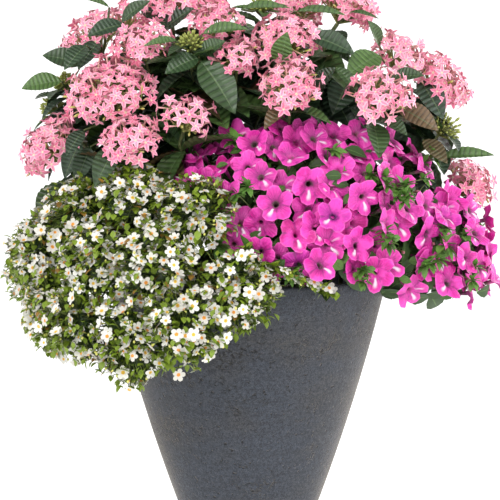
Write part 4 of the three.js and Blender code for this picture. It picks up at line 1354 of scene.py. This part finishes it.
def add_bacopa_flower(bm, stalks, at, p, normal, item):
    """A flower on its stalk from the middle of the spray, with a bud beside some."""
    stands_out = draw(item, 90) < 0.12
    out = normal * (between(6, 13, item, 91) if stands_out else between(-8, 5, item, 91))
    tilt = Vector((draw(item, 92) - 0.5, draw(item, 93) - 0.5, draw(item, 94) - 0.3))
    f = frame_at(p + out, normal + tilt * 1.5, 6 * draw(item, 95))
    shape = BACOPA_FLOWERS[int(draw(item, 99) * len(BACOPA_FLOWERS))]
    stamp(bm, shape, placed(f, between(0.8, 1.08, item, 96)), draw(item, 97), 0)
    throat = placed(f._replace(origin=in_frame(f, 0, 0, -2.2))) @ stretch(1.1, 1.1, 2.4)
    stamp(bm, BUD_BALL, throat, 0.5, 3)
    stalks.append(([at, at.lerp(p, 0.5) - UP * 3, in_frame(f, 0, 0, -5), in_frame(f, 0, 0, -1)], 0.9, 0.5))
    if draw(item, 98) < 0.5:
        bud = p + out * 0.7 + f.across * 8
        stamp(bm, BUD_BALL, Matrix.Translation(bud) @ stretch(1.6, 1.6, 2.1), 0.5, 3)
        stalks.append(([at.lerp(p, 0.6), bud], 0.6, 0.5))


WITHERED_TONE = 0.97
WITHERED_SHARE = 0.035


def add_bacopa_leaf(bm, stalks, at, p, normal, item):
    """A small leaf, given painted shade that darkens it the deeper it sits, and a few of them withered."""
    depth = between(-6, 14, item, 101)
    base = p - normal * depth
    f = leaf_frame(base, normal * 0.5 + wobble(item, 102) * 2.2)
    # Painted shade: the tone drops the deeper the leaf sits in the spray.
    light = min(max(0.75 - depth / 16 + 0.6 * (draw(item, 106) - 0.5), 0), 0.88)
    light = WITHERED_TONE if draw(item, 107) < WITHERED_SHARE else light
    stamp(bm, BACOPA_LEAF, placed(f, between(6.5, 11.5, item, 105)), light, 1)
    if item % 3 == 0:
        stalks.append(([at.lerp(p, 0.35), base], 0.8, 0.5))


FLOWER_SITES = 118
LEAF_SITES = 560
SHADE_CORE_SIZE = (31, 31, 14)
# Flowers stand in clumps about this wide; a lower edge makes the clumps larger.
CLUMP = 11
CLUMP_EDGE = -0.06
LEAF_SEED = 20000
SPRIG_SEED = 9000
# A stray shoot of bacopa number 5 runs along the rim in front, under the petunias.
SPRIG_OWNER = 5
SPRIG_LINE = [(-14, -214, 372), (22, -212, 388), (52, -202, 374), (80, -186, 362), (98, -178, 352)]


def add_sprig(bm, stalks, seed):
    """A thin shoot with leaves and a few flowers all along it."""
    line = spaced([Vector(p) for p in SPRIG_LINE], 40)
    stalks.append((line, 1.1, 0.7))
    for k, at in enumerate(line):
        item = seed + k
        outward = Vector((at.x, at.y, 60)).normalized()
        for leaf in range(item * 5, item * 5 + 5):
            add_bacopa_leaf(bm, [], at, at + outward * between(0, 7, leaf, 108), outward, leaf)
        if noise.noise(at / 16) > 0.02:
            add_bacopa_flower(bm, stalks, at, at + outward * 9, outward, item)


def make_bacopa(number):
    foot = BACOPA[number - 1][0]
    tree = surface_of(f"bacopa_spray_{number}")
    bm = growth()
    stems, stalks = [], []
    for k in range(2):
        spray = SPRAYS[(number - 1) * 2 + k]
        at, facing = spray
        seed = number * 1000 + k * 500
        start = over_rim(at) if hangs(at) else Vector((*foot, SOIL_TOP))
        path = followed(tree, [stem_path(foot, at, (at - start).normalized(), bend) for bend in BENDS], 5)
        stems.append((spaced(path, 20), BACOPA_STEM, BACOPA_STEM * 0.7))
        # A lumpy ball that stands for the inner foliage, given the darkest leaf tone as painted shade in the
        # gaps of each spray.
        shade_core = placed(frame_at(at, facing)) @ stretch(*SHADE_CORE_SIZE)
        stamp(bm, SHADE_CORE, shade_core, 0.0, 1)
        for item, p, normal in spray_sites(spray, FLOWER_SITES, -0.35, seed):
            if noise.noise(p / CLUMP) > CLUMP_EDGE:
                add_bacopa_flower(bm, stalks, at, p, normal, item)
        for item, p, normal in spray_sites(spray, LEAF_SITES, -0.6, seed + LEAF_SEED):
            add_bacopa_leaf(bm, stalks, at, p, normal, item)
    if number == SPRIG_OWNER:
        add_sprig(bm, stalks, SPRIG_SEED)
    add_stalks(bm, stems, 2, 1)
    add_stalks(bm, stalks, 2)
    materials = [BACOPA_WHITE, BACOPA_GREEN, BACOPA_STEM_GREEN, BACOPA_BUD]
    return finish_piece(f"bacopa_{number}", bm, materials, f"bacopa_spray_{number}")


make_pot()
make_soil()
for number, name in enumerate(HEADS, 1):
    make_head(name, number)
shoots = {number: shoots_of(number) for number in range(1, len(BRANCHES) + 1)}
for number in shoots:
    make_branch(number, shoots)
make_petunias()
for number in range(1, len(BACOPA) + 1):
    make_bacopa(number)


# Floor, light and camera.
def make_sweep():
    """A pale floor that curves up all round into a lit backdrop, in metres."""
    bm = lathe([(0, 0), (1.5, 0), (3.2, 0), *arc(4.2, 1.2, 1.2, -90, 0, 12), (5.4, 6)], 64)
    sweep = linked("sweep", as_mesh("sweep", bm))
    f = Finish("pale_sweep", roughness=0.9, emission_color=(1, 1, 1, 1), emission_strength=0.36)
    sweep.data.materials.append(f.done(f.mix(f.noise(3), (0.88, 0.88, 0.88), (0.9, 0.9, 0.9))))


def look_at(holder, aim):
    holder.rotation_euler = (aim - holder.location).to_track_quat("-Z", "Y").to_euler()


def make_light(name, energy, size, at, aim, colour=(1, 1, 1)):
    light = bpy.data.lights.new(name, "AREA")
    light.energy = energy
    light.size = size
    light.color = colour
    holder = linked(name, light)
    holder.location = at
    look_at(holder, Vector(aim))


def make_camera():
    distance_away, tilt = 1.77, math.radians(5)
    aim = Vector((0.0025, 0, 0.388))
    camera = bpy.data.cameras.new("camera")
    camera.lens = 100
    camera.sensor_width = 36
    holder = linked("camera", camera)
    holder.location = aim + Vector((0, -math.cos(tilt), math.sin(tilt))) * distance_away
    look_at(holder, aim)
    bpy.context.scene.camera = holder


make_sweep()
make_light("key", 30, 0.9, (-0.9, -1.9, 2.1), (0, 0, 0.5), (1, 0.985, 0.96))
make_light("fill", 16, 1.2, (1.9, -1.2, 1.2), (0, 0, 0.4))
make_light("rim", 14, 0.6, (1.4, 0.9, 1.1), (0, 0, 0.4), (1, 0.95, 0.9))
world = bpy.data.worlds.new("studio")
world.use_nodes = True
world.node_tree.nodes["Background"].inputs["Color"].default_value = (1, 1, 1, 1)
world.node_tree.nodes["Background"].inputs["Strength"].default_value = 0.36
bpy.context.scene.world = world
bpy.context.scene.view_settings.view_transform = "Standard"
make_camera()
